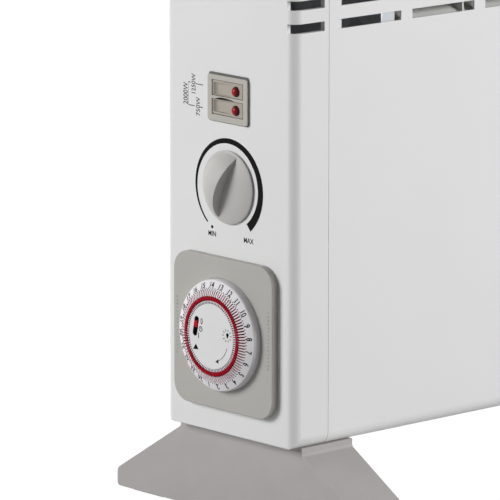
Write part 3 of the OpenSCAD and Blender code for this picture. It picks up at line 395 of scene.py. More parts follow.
def rod(radius: float, low: float, high: float, at: Point = (0, 0), sides: int = 48) -> Object:
    """An upright round bar, to cut with or to be shaped further.

    Args:
        radius: Its radius.
        low: The height of its lower end.
        high: The height of its upper end.
        at: The place of its axis.
        sides: The number of flats round it.

    Returns:
        The bar.
    """
    clear()
    bpy.ops.mesh.primitive_cylinder_add(
        vertices=sides, radius=radius, depth=high - low, location=(*at, (low + high) / 2)
    )
    return settle(bpy.context.object)


def apply_modifier(piece: Object, kind: str, **settings: object) -> None:
    """Adds a modifier with its settings and applies it.

    Args:
        piece: The piece.
        kind: The modifier's type.
        settings: The values that differ from the defaults.
    """
    pick(piece)
    modifier = piece.modifiers.new(kind.lower(), kind)
    for key, value in settings.items():
        setattr(modifier, key, value)
    bpy.ops.object.modifier_apply(modifier=modifier.name)


def combine(piece: Object, tool: Object, operation: str) -> Object:
    """Cuts, joins or intersects a piece with a tool, which is used up.

    Args:
        piece: The piece.
        tool: The solid that works on it.
        operation: DIFFERENCE, UNION or INTERSECT.

    Returns:
        The piece.
    """
    apply_modifier(piece, "BOOLEAN", object=tool, operation=operation, solver="EXACT")
    bpy.data.objects.remove(tool)
    return piece


def cut(piece: Object, *tools: Object) -> Object:
    """Takes tools out of a piece.

    Args:
        piece: The piece.
        tools: The solids to take out, which are used up.

    Returns:
        The piece.
    """
    for tool in tools:
        combine(piece, tool, "DIFFERENCE")
    return piece


def join(parts: Iterable[Object]) -> Object:
    """Makes one object of several, without changing their shapes.

    Args:
        parts: The pieces, of which the first takes in the others.

    Returns:
        The joined piece.
    """
    first, *rest = parts
    pick(first, *rest)
    if rest:
        bpy.ops.object.join()
    return first


def soften(piece: Object, width: float, segments: int = 2, angle: float = 40) -> Object:
    """Rounds the edges that are sharper than an angle in degrees.

    Args:
        piece: The piece.
        width: How far a rounding reaches on each side of its edge.
        segments: The number of flats in a rounding.
        angle: The least angle at which an edge is rounded.

    Returns:
        The piece.
    """
    apply_modifier(
        piece, "BEVEL", width=width, segments=segments, limit_method="ANGLE",
        angle_limit=math.radians(angle), harden_normals=False,
    )
    return piece


def turn_copies(piece: Object, count: int) -> Object:
    """Repeats a piece round the z axis.

    Args:
        piece: The piece at its first place.
        count: How many there are all round.

    Returns:
        The piece with its copies.
    """
    edit(piece)
    bpy.ops.mesh.spin(
        steps=count, dupli=True, angle=2 * math.pi, center=(0, 0, 0), axis=(0, 0, 1)
    )
    close()
    return piece


def lettering(words: str, cap: float, thick: float, weight: float = 0.0) -> Object:
    """Writes words flat about the origin, reading along x.

    Args:
        words: The words or the number.
        cap: Height of a capital or a figure.
        thick: Thickness of the ink.
        weight: How far the strokes are widened on each side.

    Returns:
        The words as a mesh.
    """
    clear()
    bpy.ops.object.text_add()
    made = bpy.context.object
    made.data.body = words
    made.data.size = cap / CAP_SHARE
    made.data.align_x = "CENTER"
    made.data.align_y = "CENTER"
    made.data.resolution_u = 4
    made.data.extrude = thick / 2
    made.data.offset = weight
    bpy.ops.object.convert(target="MESH")
    return bpy.context.object


def arc_points(
    radius: float, start: float, end: float, steps: int, centre: Point = (0, 0)
) -> list[Point]:
    """Points along an arc.

    Args:
        radius: The arc's radius.
        start: Where it starts, in degrees from the x axis.
        end: Where it ends, in the same degrees.
        steps: The number of straight steps in it.
        centre: The place of its middle.

    Returns:
        The points, with both ends.
    """
    turns = [math.radians(start + (end - start) * i / steps) for i in range(steps + 1)]
    return [(centre[0] + radius * math.cos(t), centre[1] + radius * math.sin(t)) for t in turns]


def rounded(points: Sequence[Point], radii: Sequence[float], steps: int = 10) -> list[Point]:
    """Rounds each corner of a closed outline by its own radius, or leaves it sharp where that is 0.

    Args:
        points: The outline's sharp corners.
        radii: One radius for each corner.
        steps: The number of straight steps in a rounding.

    Returns:
        The outline with its roundings.
    """
    made = []
    for i, (here, radius) in enumerate(zip(points, radii)):
        if radius <= 0:
            made.append(tuple(here))
            continue
        corner = Vector(here)
        before = (Vector(points[i - 1]) - corner).normalized()
        after = (Vector(points[(i + 1) % len(points)]) - corner).normalized()
        half = before.angle(after) / 2
        centre = corner + (before + after).normalized() * radius / math.sin(half)
        first = corner + before * radius / math.tan(half) - centre
        last = corner + after * radius / math.tan(half) - centre
        start = math.atan2(first.y, first.x)
        sweep = (math.atan2(last.y, last.x) - start + 3 * math.pi) % (2 * math.pi) - math.pi
        for k in range(steps + 1):
            turn = start + sweep * k / steps
            made.append((centre.x + radius * math.cos(turn), centre.y + radius * math.sin(turn)))
    return made


def rounded_box(width: float, height: float, radius: float, steps: int = 10) -> list[Point]:
    """The outline of a box about the origin with equal round corners."""
    x, y = width / 2, height / 2
    return rounded([(-x, -y), (x, -y), (x, y), (-x, y)], [radius] * 4, steps)


@dataclass
class Bench:
    """Puts finished shapes in place, dresses them and ties them to the CAD model."""

    left: float = -258.7
    lift: float = 48.0
    made: list[str] = field(default_factory=list)

    def on_end(self, height: float) -> Matrix:
        """The control end's frame at a height above the body's underside.

        Args:
            height: The height of the frame's middle.

        Returns:
            The frame, which also brings millimetres to metres.
        """
        turned = Matrix(((0, 0, -1, 0), (-1, 0, 0, 0), (0, 1, 0, 0), (0, 0, 0, 1)))
        place = Matrix.Translation((self.left * MM, 0, (self.lift + height) * MM))
        return place @ turned @ Matrix.Scale(MM, 4)

    def put(
        self,
        piece: Object,
        name: str,
        finish: Finish,
        body: str = "housing",
        place: Matrix | None = None,
        slot: str | None = None,
        stands_for: Sequence[str] = (),
        smooth: bool = True,
    ) -> Object:
        """Places, dresses and ties a piece.

        Args:
            piece: The shape, in millimetres.
            name: Its name in the scene.
            finish: Its finish.
            body: The CAD body that it moves with.
            place: Its frame, or None where it is drawn in the heater's own frame.
            slot: The record's material slot; not used.
            stands_for: The CAD nodes that it takes the place of.
            smooth: Whether its gentle edges are shaded as curves.

        Returns:
            The finished piece.
        """
        piece.name = name
        piece.data.name = name
        piece.matrix_world = Matrix.Scale(MM, 4) if place is None else place
        settle(piece)
        if smooth:
            bpy.ops.object.shade_smooth_by_angle(angle=SMOOTH_ANGLE)
            apply_modifier(piece, "WEIGHTED_NORMAL", keep_sharp=True, weight=50)
        piece.data.materials.clear()
        piece.data.materials.append(finish.material())
        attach(piece, body)
        if stands_for:
            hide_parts(*stands_for)
        self.made.append(name)
        log.info("%s: %d faces, on %s", name, len(piece.data.polygons), body)
        return piece


# The heater's sub-assemblies


@dataclass
class Casing:
    """The painted body: two end caps with hand grips, a front and a rear panel."""

    bench: Bench
    width: float = 530.0
    depth: float = 101.0
    height: float = 322.0
    upright_r: float = 5.5
    lower_r: float = 7.0
    upper_r: float = 14.0
    end_top_r: float = 5.0
    end_low_r: float = 1.6
    sheet: float = 1.0
    cap_wall: float = 2.2
    grip_root: float = 0.5
    cap_length: float = 24.0
    tongue: float = 10.0
    tongue_wall: float = 1.6
    seam: float = 0.3
    grip: tuple[float, float, float] = (84.0, 24.0, 17.0)
    grip_r: float = 9.0
    grip_height: float = 276.0
    slot_low: float = 219.4
    slot_rows: int = 6
    slot_cols: int = 9
    slot_height: float = 5.0
    slot_pitch: float = 12.0
    slot_rib: float = 8.0
    slot_margin: float = 6.0
    slot_stop: float = 3.0
    edge: float = 0.25
    inlet: tuple[float, float] = (44.0, 6.0)
    inlet_pitch: float = 54.0
    inlet_cols: int = 8
    inlet_rows: int = 3
    inlet_row_pitch: float = 14.0
    inlet_low: float = 54.0
    switch_hole: tuple[float, float, float, float] = (179.85, 28.0, 22.3, 0.0)
    knob_hole: tuple[float, float] = (133.1, 5.0)
    timer_hole: tuple[float, float, float, float] = (55.0, 56.4, 56.4, 0.6)

    def section(self, inset: float) -> list[Point]:
        """The body's cross-section in depth and height, drawn inset from its skin.

        Args:
            inset: The distance from the skin.

        Returns:
            The section's outline.
        """
        lift, half = self.bench.lift, self.depth / 2 - inset
        low, high = lift + inset, lift + self.height - inset
        radii = [self.lower_r - inset] * 2 + [self.upper_r - inset] * 2
        return rounded([(-half, low), (half, low), (half, high), (-half, high)], radii)

    def length(self, inset: float, start: float, end: float) -> Object:
        """A length of the body's section between two places along x."""
        return prism([(start, y, z) for y, z in self.section(inset)], (end - start, 0, 0))

    def cap_block(self) -> Object:
        """The end cap's outer form, rounded along each of its edges.

        Returns:
            The form as a solid block.
        """
        lift, left, half = self.bench.lift, self.bench.left, self.depth / 2
        right, top = left + self.cap_length, self.height
        made = self.length(0, left, right)
        plan = rounded(
            [(left, -half), (right + 1, -half), (right + 1, half), (left, half)],
            [self.upright_r, 0, 0, self.upright_r],
        )
        combine(made, slab(plan, lift - 1, lift + top + 1), "INTERSECT")
        side = rounded(
            [(left, lift), (right + 1, lift), (right + 1, lift + top), (left, lift + top)],
            [self.end_low_r, 0, 0, self.end_top_r],
        )
        tool = prism([(x, -half - 1, z) for x, z in side], (0, self.depth + 2, 0))
        return combine(made, tool, "INTERSECT")

    def grip_tool(self, grow: float, start: float, end: float) -> Object:
        """A block in the hand grip's outline between two places along x.

        Args:
            grow: How far it is grown past the grip's outline.
            start: Its near end.
            end: Its far end.

        Returns:
            The block.
        """
        wide, high, _ = self.grip
        outline = rounded_box(wide + 2 * grow, high + 2 * grow, self.grip_r + grow)
        centre = self.bench.lift + self.grip_height
        return prism([(start, y, centre + z) for y, z in outline], (end - start, 0, 0))

    def end_cap(self) -> Object:
        """An end cap at the control end, before the controls are let in.

        Returns:
            The cap.
        """
        left, lift = self.bench.left, self.bench.lift
        inner = left + self.cap_length
        made = self.cap_block()
        inset, tip = self.sheet + self.seam, inner + self.tongue
        combine(made, self.length(inset, left + self.cap_length / 2, tip), "UNION")
        cut(made, self.length(inset + self.tongue_wall, left + self.cap_wall, tip + 1))
        deep, wall = left + self.grip[2], self.cap_wall
        combine(made, self.grip_tool(wall, left + self.grip_root, deep + wall), "UNION")
        cut(made, self.grip_tool(0, left - 1, deep))
        front, end = -self.depth / 2, inner - self.slot_stop
        lows = [lift + self.slot_low + row * self.slot_pitch for row in range(self.slot_rows)]
        slots = [
            block((left - 1, front - 1, z), (end, front + self.upright_r, z + self.slot_height))
            for z in lows
        ]
        return cut(made, join(slots))

    def control_cap(self) -> None:
        """The end cap that carries the controls."""
        made = self.end_cap()
        left, lift, wall = self.bench.left, self.bench.lift, 2 * self.cap_wall
        for centre, wide, high, across in (self.switch_hole, self.timer_hole):
            low, half = lift + centre - high / 2, wide / 2
            near, far = (left - 1, across - half, low), (left + wall, across + half, low + high)
            cut(made, block(near, far))
        knob = rod(self.knob_hole[1], -1, wall)
        knob.rotation_euler.y = math.radians(90)
        knob.location = (left, 0, lift + self.knob_hole[0])
        cut(made, knob)
        soften(made, self.edge, segments=2)
        self.bench.put(
            made, "control_cap", CAP_WHITE, slot="white_cap", stands_for=["control_end_cap"]
        )

    def plain_cap(self) -> None:
        """The end cap at the far end, a mirror image without controls."""
        made = self.end_cap()
        soften(made, self.edge, segments=2)
        middle = self.bench.left + self.width / 2
        made.matrix_world = Matrix.Translation((2 * middle, 0, 0)) @ Matrix.Scale(-1, 4, (1, 0, 0))
        settle(made)
        edit(made)
        close()
        self.bench.put(made, "plain_cap", CAP_WHITE, slot="white_cap", stands_for=["plain_end_cap"])

    def folded_sheet(
        self, outer: Sequence[Point], radii: Sequence[float], inner: Sequence[Point]
    ) -> Object:
        """A sheet folded along the body, drawn in depth and height.

        Args:
            outer: The corners of the outer line.
            radii: The outer line's bend radii.
            inner: The corners of the inner line, in the same order.

        Returns:
            The folded sheet.
        """
        bent = [max(0.0, radius - self.sheet) for radius in radii]
        outline = rounded([*outer, *reversed(inner)], [*radii, *reversed(bent)])
        start = self.bench.left + self.cap_length + self.seam
        long = self.width - 2 * (self.cap_length + self.seam)
        lift = self.bench.lift
        return prism([(start, y, lift + z) for y, z in outline], (long, 0, 0))

    def slot_row_tools(
        self, low: Point3, high: Point3, counts: tuple[int, int], steps: Point
    ) -> Object:
        """Cutting blocks repeated along the body and upwards.

        Args:
            low: The first block's least corner.
            high: The first block's greatest corner.
            counts: How many there are along the body and upwards.
            steps: The pitches along the body and upwards.

        Returns:
            The blocks as one tool.
        """
        tool = block(low, high)
        for count, offset in zip(counts, ((steps[0], 0, 0), (0, 0, steps[1]))):
            apply_modifier(
                tool, "ARRAY", count=count, use_relative_offset=False, use_constant_offset=True,
                constant_offset_displace=offset,
            )
        return tool

    def front_panel(self) -> None:
        """The front panel, which folds over the top and carries the outlet slots."""
        half, top, t = self.depth / 2, self.height, self.sheet
        low_y, end_y = -half + self.lower_r, half - self.upper_r - self.seam
        outer = [(low_y, 0), (-half, 0), (-half, top), (end_y, top)]
        inner = [(low_y, t), (-half + t, t), (-half + t, top - t), (end_y, top - t)]
        made = self.folded_sheet(outer, [0, self.lower_r, self.upper_r, 0], inner)
        start = self.bench.left + self.cap_length + self.seam
        long = self.width - 2 * (self.cap_length + self.seam)
        each = (long - 2 * self.slot_margin - (self.slot_cols - 1) * self.slot_rib) / self.slot_cols
        low = self.bench.lift + self.slot_low
        tool = self.slot_row_tools(
            (start + self.slot_margin, -half - 1, low),
            (start + self.slot_margin + each, -half + 2 * t, low + self.slot_height),
            (self.slot_cols, self.slot_rows),
            (each + self.slot_rib, self.slot_pitch),
        )
        cut(made, tool)
        self.bench.put(
            made, "front_sheet", WHITE_PAINT, slot="white_paint", stands_for=["front_panel"]
        )

    def rear_panel(self) -> None:
        """The rear panel with its three rows of air inlets."""
        half, top, t = self.depth / 2, self.height, self.sheet
        low_y, end_y = half - self.lower_r, half - self.upper_r
        outer = [(end_y, top), (half, top), (half, 0), (low_y, 0)]
        inner = [(end_y, top - t), (half - t, top - t), (half - t, t), (low_y, t)]
        made = self.folded_sheet(outer, [0, self.upper_r, self.lower_r, 0], inner)
        middle = self.bench.left + self.width / 2
        long, high = self.inlet
        start = middle - (self.inlet_cols - 1) * self.inlet_pitch / 2 - long / 2
        low = self.bench.lift + self.inlet_low
        tool = self.slot_row_tools(
            (start, half - 2 * t, low),
            (start + long, half + 1, low + high),
            (self.inlet_cols, self.inlet_rows),
            (self.inlet_pitch, self.inlet_row_pitch),
        )
        cut(made, tool)
        self.bench.put(
            made, "rear_sheet", WHITE_PAINT, slot="white_paint", stands_for=["rear_panel"]
        )

    def build(self) -> None:
        """Makes every painted piece of the body."""
        self.control_cap()
        self.plain_cap()
        self.front_panel()
        self.rear_panel()


@dataclass
class Feet:
    """The two moulded feet."""

    bench: Bench
    length: float = 200.0
    thick: float = 36.0
    inset: float = 8.0
    top_half: float = 47.8
    neck: float = 4.0
    tip_high: float = 9.7
    tip_r: float = 4.0
    low_r: float = 2.0
    pad: float = 2.0
    body_width: float = 530.0
    screw: tuple[float, float, float] = (38.6, 25.25, 3.1)
    web: float = 8.0
    edge: float = 0.8

    def foot(self, start: float, screw_x: float) -> Object:
        """One foot whose near side stands at a place along x.

        Args:
            start: The place of its near side.
            screw_x: The place of its two screws.

        Returns:
            The foot.
        """
        lift, tip = self.bench.lift, self.length / 2
        outline = rounded(
            [
                (-tip, self.pad), (tip, self.pad), (tip, self.pad + self.tip_high),
                (self.top_half, lift - self.neck), (self.top_half, lift),
                (-self.top_half, lift), (-self.top_half, lift - self.neck),
                (-tip, self.pad + self.tip_high),
            ],
            [self.low_r, self.low_r, self.tip_r, self.low_r, 0, 0, self.low_r, self.tip_r],
            steps=6,
        )
        made = prism([(start, y, z) for y, z in outline], (self.thick, 0, 0))
        for side in (-1, 1):
            cut(made, rod(self.screw[2], 0, lift - self.web, (screw_x, side * self.screw[1])))
        return soften(made, self.edge, segments=3, angle=50)

    def build(self) -> None:
        """Makes both feet."""
        left, wide = self.bench.left, self.body_width
        near = self.foot(left + self.inset, left + self.screw[0])
        far = self.foot(left + wide - self.inset - self.thick, left + wide - self.screw[0])
        self.bench.put(near, "near_foot", FOOT_GREY, slot="foot_grey", stands_for=["control_foot"])
        self.bench.put(far, "far_foot", FOOT_GREY, slot="foot_grey", stands_for=["plain_foot"])


@dataclass
class Switch:
    """The double rocker switch with its neon lenses.

    notch holds both ends of the gap over the lower rocker, its edge and its crest. ends holds a
    rocker's two ends with the height of its top there. rims holds the widths of the rims beside a
    finger scoop. scoop holds the place of the scoop's rear end, its depth and where it runs out,
    scoop_wall how far its rear wall leans and where that ends, and scoop_tool the height of the
    solid that cuts it.
    """

    bench: Bench
    height: float = 179.85
    across: float = 0.3
    bezel: tuple[float, float, float] = (30.9, 24.3, 1.4)
    bezel_drop: float = 0.35
    bezel_edge: float = 0.3
    proud: float = 1.5
    lip: float = 2.0
    deep: float = 20.0
    core_r: float = 1.0
    core_top: float = 0.5
    window: Point = (24.4, 8.4)
    window_at: float = 5.0
    window_deep: float = 9.0
    notch: tuple[float, float, float, float] = (-10.2, 6.4, -0.9, 0.25)
    notch_lean: float = 0.4
    notch_steps: int = 12
    # A dark ring under the bezel: painted shade along the bezel's edges.
    seal: tuple[float, float, float] = (31.0, 25.9, 0.6)
    seal_low: float = 0.02
    seal_share: float = 0.985
    pivot_deep: float = 1.9
    rocker_wide: float = 7.8
    rocker_deep: float = 5.4
    rocker_taper: float = 0.6
    rocker_edge: float = 0.28
    ends: tuple[Point, Point] = ((-12.1, 1.0), (11.7, 1.35))
    rims: Point = (1.2, 0.35)
    scoop: tuple[float, float, float] = (-12.2, 1.3, 3.4)
    scoop_round: float = 3.8
    scoop_wall: Point = (0.35, 0.6)
    scoop_bed: Point = (-2.0, 0.42)
    scoop_lip: float = 0.02
    scoop_tool: float = 6.0
    lens_at: float = 6.6
    lens_drop: float = 0.3
    lens_r: float = 2.85
    lens_rise: float = 2.3
    lens_sunk: float = 0.15
    lens_deep: float = 2.0
    lens_steps: int = 10

    def place(self) -> Matrix:
        """The frame that the switch is drawn in."""
        return self.bench.on_end(self.height) @ Matrix.Translation((self.across, 0, 0))

    def housing(self) -> None:
        """The bezel with the body behind it, and a dark ring under it as painted shade."""
        wide, high, radius = self.bezel
        frame_line = rounded_box(wide, high, radius, steps=6)
        outline = [(x, y - self.bezel_drop) for x, y in frame_line]
        made = slab(outline, 0, self.proud)
        core = rounded_box(wide - 2 * self.lip, high - 2 * self.lip, self.core_r, steps=4)
        combine(made, slab(core, -self.deep, self.core_top), "UNION")
        x, y = self.window[0] / 2, self.window[1] / 2
        for at in (-self.window_at, self.window_at):
            cut(made, block((-x, at - y, -self.window_deep), (x, at + y, self.proud + 1)))
        start, end, edge, crest = self.notch
        arc = []
        for t in (i / self.notch_steps for i in range(self.notch_steps + 1)):
            rise = 4 * t * (1 - t) * (1 + self.notch_lean * (0.5 - t))
            arc.append((start + (end - start) * t, edge + (crest - edge) * rise))
        cut(made, slab(arc, -self.window_deep, self.proud + 1))
        soften(made, self.bezel_edge, segments=3, angle=50)
        slot = "switch_grey"
        self.bench.put(
            made, "switch_bezel", SWITCH_GREY, "housing", self.place(), slot, ["switch_housing"]
        )
        # The dark ring paints the line of shade round the bezel.
        broad, tall, thick = self.seal
        seal = slab(rounded_box(broad, tall, radius, steps=6), self.seal_low, thick)
        hole = [(x * self.seal_share, y * self.seal_share) for x, y in outline]
        cut(seal, slab(hole, -1, self.proud))
        self.bench.put(seal, "bezel_shade_ring", BEZEL_PAINTED_SHADE_GREY, "housing", self.place(), slot)

    def rocker(self, side: int) -> Object:
        """One rocker, with a finger scoop that is deep at its rear end and runs out at the lens.

        Args:
            side: 1 for the upper rocker and -1 for the lower one.

        Returns:
            The rocker, drawn in the switch's frame about its own middle.
        """
        (rear, rear_top), (front, front_top) = self.ends
        half, low, pivot = self.rocker_wide / 2, -self.rocker_deep, -self.pivot_deep
        form = [
            (rear + self.rocker_taper, low), (front - self.rocker_taper, low), (front, pivot),
            (front, front_top), (rear, rear_top), (rear, pivot),
        ]
        made = prism([(x, -half, z) for x, z in form], (0, self.rocker_wide, 0))
        wall, deepest, runs_out = self.scoop
        floor, above, r = rear_top - deepest, self.scoop_tool, self.scoop_round
        turns = [math.radians(a) for a in range(90, -1, -6)]
        form = [
            (wall - self.scoop_wall[0], above), (wall, floor + r + self.scoop_wall[1]),
            *[(wall + r * (1 - math.sin(t)), floor + r * (1 - math.cos(t))) for t in turns],
            (self.scoop_bed[0], floor + self.scoop_bed[1]),
            (runs_out, self.top_at(runs_out) + self.scoop_lip), (runs_out, above),
        ]
        below, over = self.rims[::side]
        start, stop = -half + over, half - below
        cut(made, prism([(x, start, z) for x, z in form], (0, stop - start, 0)))
        return soften(made, self.rocker_edge, segments=3, angle=12)

    def top_at(self, x: float) -> float:
        """Height of a rocker's top at a place along it."""
        (rear, rear_top), (front, front_top) = self.ends
        return rear_top + (front_top - rear_top) * (x - rear) / (front - rear)

    def lens(self) -> Object:
        """One domed lens in its seat.

        Returns:
            The lens, drawn in the rocker's frame.
        """
        radius = (self.lens_r**2 + self.lens_rise**2) / (2 * self.lens_rise)
        seat = self.top_at(self.lens_at) - self.lens_sunk
        middle = seat + self.lens_rise - radius
        edge, steps = math.asin(self.lens_r / radius), self.lens_steps
        turns = [edge * (1 - i / steps) for i in range(steps + 1)]
        dome = [(radius * math.sin(t), middle + radius * math.cos(t)) for t in turns]
        low = seat - self.lens_deep
        made = lathe([(0, low), (self.lens_r, low), *dome], steps=40)
        made.location = (self.lens_at, -self.lens_drop, 0)
        return settle(made)

    def build(self) -> None:
        """Makes the housing, both rockers and both lenses."""
        self.housing()
        for name, side in (("1250w", 1), ("750w", -1)):
            place = self.place() @ Matrix.Translation((0, side * self.window_at, 0))
            body = f"rocker_{name}"
            # The rockers' grey is darkened as painted shade for their scoops.
            self.bench.put(
                self.rocker(side), f"rocker_cap_{name}", ROCKER_PAINTED_SHADE_GREY, body, place, "switch_grey",
                [body],
            )
            # The lens's finish paints shade at its foot and a highlight at its top.
            self.bench.put(
                self.lens(), f"lens_{name}", NEON_PAINTED_SHADE_RED, body, place, "neon", [f"neon_lens_{name}"]
            )


@dataclass
class Thermostat:
    """The thermostat's knob.

    The grip is a part of a ball over the dome, cut off by an upright flank. chord is the ball's
    width at the dome's foot, and rest the turn at which the grip stands, in degrees.
    """

    bench: Bench
    height: float = 133.1
    diameter: float = 39.0
    rim: float = 1.2
    gap: float = 0.6
    dome: float = 3.3
    exponent: float = 0.8
    dome_steps: int = 20
    chord: float = 36.0
    grip_rise: float = 6.4
    grip_shift: float = -0.2
    flank_at: float = 0.85
    rest: float = 23.2
    edge: float = 0.3

    def surface(self, radius: float) -> float:
        """Height of the dome at a radius."""
        share = max(0.0, 1 - (2 * radius / self.diameter) ** 2)
        return self.rim + self.dome * share**self.exponent

    def grip(self) -> Object:
        """The half-moon grip, with its foot inside the dome.

        Returns:
            The grip, turned to where it rests.
        """
        radius, top = self.diameter / 2, self.rim + self.dome + self.grip_rise
        rise = top - self.surface(self.chord / 2)
        ball_r = (self.chord**2 / 4 + rise**2) / (2 * rise)
        clear()
        bpy.ops.mesh.primitive_uv_sphere_add(
            segments=128, ring_count=64, radius=ball_r, location=(0, -self.grip_shift, top - ball_r)
        )
        ball = settle(bpy.context.object)
        side = block((-radius, -radius, self.rim), (self.flank_at, radius, top + 2))
        combine(ball, side, "INTERSECT")
        soften(ball, self.edge, segments=3, angle=35)
        ball.rotation_euler.z = math.radians(-self.rest)
        return settle(ball)

    def build(self) -> None:
        """Makes the domed disc with its grip."""
        radius = self.diameter / 2
        turns = [math.pi / 2 * i / self.dome_steps for i in range(self.dome_steps + 1)]
        curve = [(radius * math.cos(t), self.surface(radius * math.cos(t))) for t in turns]
        made = lathe([(0, self.gap), (radius, self.gap), *curve], steps=128)
        grip = self.grip()
        soften(made, self.edge, segments=3, angle=35)
        combine(made, grip, "UNION")
        body, place = "thermostat_knob", self.bench.on_end(self.height)
        self.bench.put(made, "knob", KNOB_GREY, body, place, "knob", [body])


@dataclass
class Timer:
    """The timer's plate, dial, tappets and fixed disc.

    Heights are above the control end's face. raised_strips holds each strip's name, its place
    across and its two ends. shoulder holds how far the dial's rounded edge reaches inwards and
    upwards, and the turn at which it stops. groove holds the two radii and the floor of the
    tappets' groove. fin holds the inner end, the thickness and the top of the low fins between the
    tappets. gear holds the radius and the two ends of the gear behind the dial. well_gaps holds how
    much the slot's dark well is narrower than the slot, how far it stays below the disc's top and
    how thick its floor is.
    """

    bench: Bench
    height: float = 55.0
    across: float = -0.6
    plate: tuple[float, float, float] = (77.6, 81.4, 10.6)
    plate_proud: float = 4.2
    plate_edge: float = 0.6
    recess: Point = (29.95, 2.1)
    recess_edge: float = 0.2
    hole_r: float = 24.0
    raised_strips: tuple[tuple[str, float, float, float], ...] = (
        ("front_strip", 35.0, -14.0, 18.0),
        ("rear_strip", -36.6, -16.0, 16.0),
    )
    strip_pitch: float = 2.0
    strip_bar: tuple[float, float, float] = (2.6, 0.6, 0.3)
    strip_short: float = 0.62
    strip_edges: Point = (0.2, 0.08)
    dial_r: float = 29.8
    dial_low: float = 3.6
    dial_rim: float = 8.3
    dial_edge: float = 0.3
    shoulder: tuple[float, float, float] = (1.3, 2.6, 0.99)
    shoulder_steps: int = 8
    slope: float = 0.46
    groove: tuple[float, float, float] = (18.9, 24.9, 7.6)
    ring_top: float = 12.1
    ring_edge: float = 0.2
    face_r: float = 17.4
    face_gap: float = 0.12
    face_top: float = 12.2
    face_low: float = 8.6
    face_edge: float = 0.25
    face_under: float = 0.4
    stem_r: float = 6.0
    stem_gap: float = 0.05
    count: int = 96
    loose: int = 4
    tappet: tuple[float, float, float] = (2.2, 0.8, 4.88)
    tappet_in: float = 19.1
    tappet_slopes: Point = (0.3, 0.45)
    tappet_falls: Point = (0.7, 1.2)
    tappet_edge: float = 0.1
    rib_in: float = 21.5
    rib_gap: float = 0.83
    rib_drop: float = 0.2
    root: float = 0.3
    fin: tuple[float, float, float] = (19.0, 0.28, 11.3)
    fin_root: float = 0.1
    bed_depth: float = 1.0
    bed_wall: float = 0.15
    bed_drop: float = 0.4
    slot_at: Point = (-12.0, 3.9)
    slot_size: tuple[float, float, float] = (3.5, 10.9, 2.4)
    slot_wall: float = 0.15
    slot_flat: float = 0.02
    well_gaps: tuple[float, float, float] = (0.02, 0.12, 0.04)
    lean: float = 11.0
    slider_rest: float = 1.2
    slider_size: tuple[float, float, float] = (3.1, 3.9, 0.4)
    slider_edge: float = 0.3
    gear: tuple[float, float, float] = (18.3, -9.0, -5.0)

    def __post_init__(self) -> None:
        """Works out the frame that the whole timer is drawn in."""
        self.place = self.bench.on_end(self.height) @ Matrix.Translation((self.across, 0, 0))

    def cone(self, radius: float) -> float:
        """Height of the number ring at a radius."""
        return self.dial_rim + self.slope * (self.dial_r - radius)

    def plate_piece(self) -> None:
        """The grey plate with the round recess for the dial."""
        wide, high, radius = self.plate
        made = slab(rounded_box(wide, high, radius, steps=12), 0, self.plate_proud)
        points = made.data.vertices
        made.data.polygons.foreach_set("select", [False] * len(made.data.polygons))
        for edge in made.data.edges:
            edge.select = all(points[v].co.z > self.plate_proud / 2 for v in edge.vertices)
        pick(made)
        bpy.ops.object.mode_set(mode="EDIT")
        bpy.ops.mesh.select_mode(type="EDGE")
        bpy.ops.mesh.bevel(offset=self.plate_edge, segments=5, affect="EDGES")
        close()
        cut(made, rod(self.recess[0], self.recess[1], self.plate_proud + 1, sides=128))
        cut(made, rod(self.hole_r, -1, self.plate_proud, sides=96))
        soften(made, self.recess_edge, segments=2, angle=50)
        self.bench.put(
            made, "timer_surround", PLATE_GREY, "housing", self.place, "plate_grey",
            ["timer_plate"],
        )

    def strips(self) -> None:
        """Two upright strips of small raised bars at the plate's sides, every third one short."""
        (long, thick, proud), (corner, edge) = self.strip_bar, self.strip_edges
        for name, across, low, high in self.raised_strips:
            bars = []
            for i in range(int((high - low) / self.strip_pitch)):
                wide = long * (1 if i % 3 else self.strip_short)
                at = low + (i + 0.5) * self.strip_pitch
                bar = rounded_box(wide, thick, corner, steps=3)
                outline = [(across + x, at + y) for x, y in bar]
                bars.append(slab(outline, self.plate_proud - ROOT, self.plate_proud + proud))
            made = soften(join(bars), edge, segments=2)
            self.bench.put(made, name, PLATE_GREY, place=self.place, slot="plate_grey")

    def ring(self) -> Object:
        """The dial's turned form, from the gear behind it to its number ring.

        Returns:
            The form.
        """
        inner, outer, floor = self.groove
        gear_r, gear_low, gear_high = self.gear
        across, tall, last = self.shoulder
        base = self.cone(self.dial_r - across * (1 - math.cos(last))) - tall * math.sin(last)
        turns = [last * i / self.shoulder_steps for i in range(self.shoulder_steps + 1)]
        neck, bore = self.face_r - 1, self.stem_r + self.stem_gap
        bay, low = self.face_r + self.face_gap, self.face_low - self.face_under
        top, edge = self.ring_top, self.ring_edge
        profile = [
            (bore, gear_low), (gear_r, gear_low), (gear_r, gear_high), (neck, gear_high),
            (neck, self.dial_low), (self.dial_r - self.dial_edge, self.dial_low),
            (self.dial_r, self.dial_low + self.dial_edge),
            *[(self.dial_r - across * (1 - math.cos(t)), base + tall * math.sin(t)) for t in turns],
            (outer, self.cone(outer)), (outer, floor), (inner, floor), (inner, top - edge),
            (inner - edge, top), (bay + edge, top), (bay, top - edge), (bay, low), (bore, low),
        ]
        return lathe(profile, steps=192)

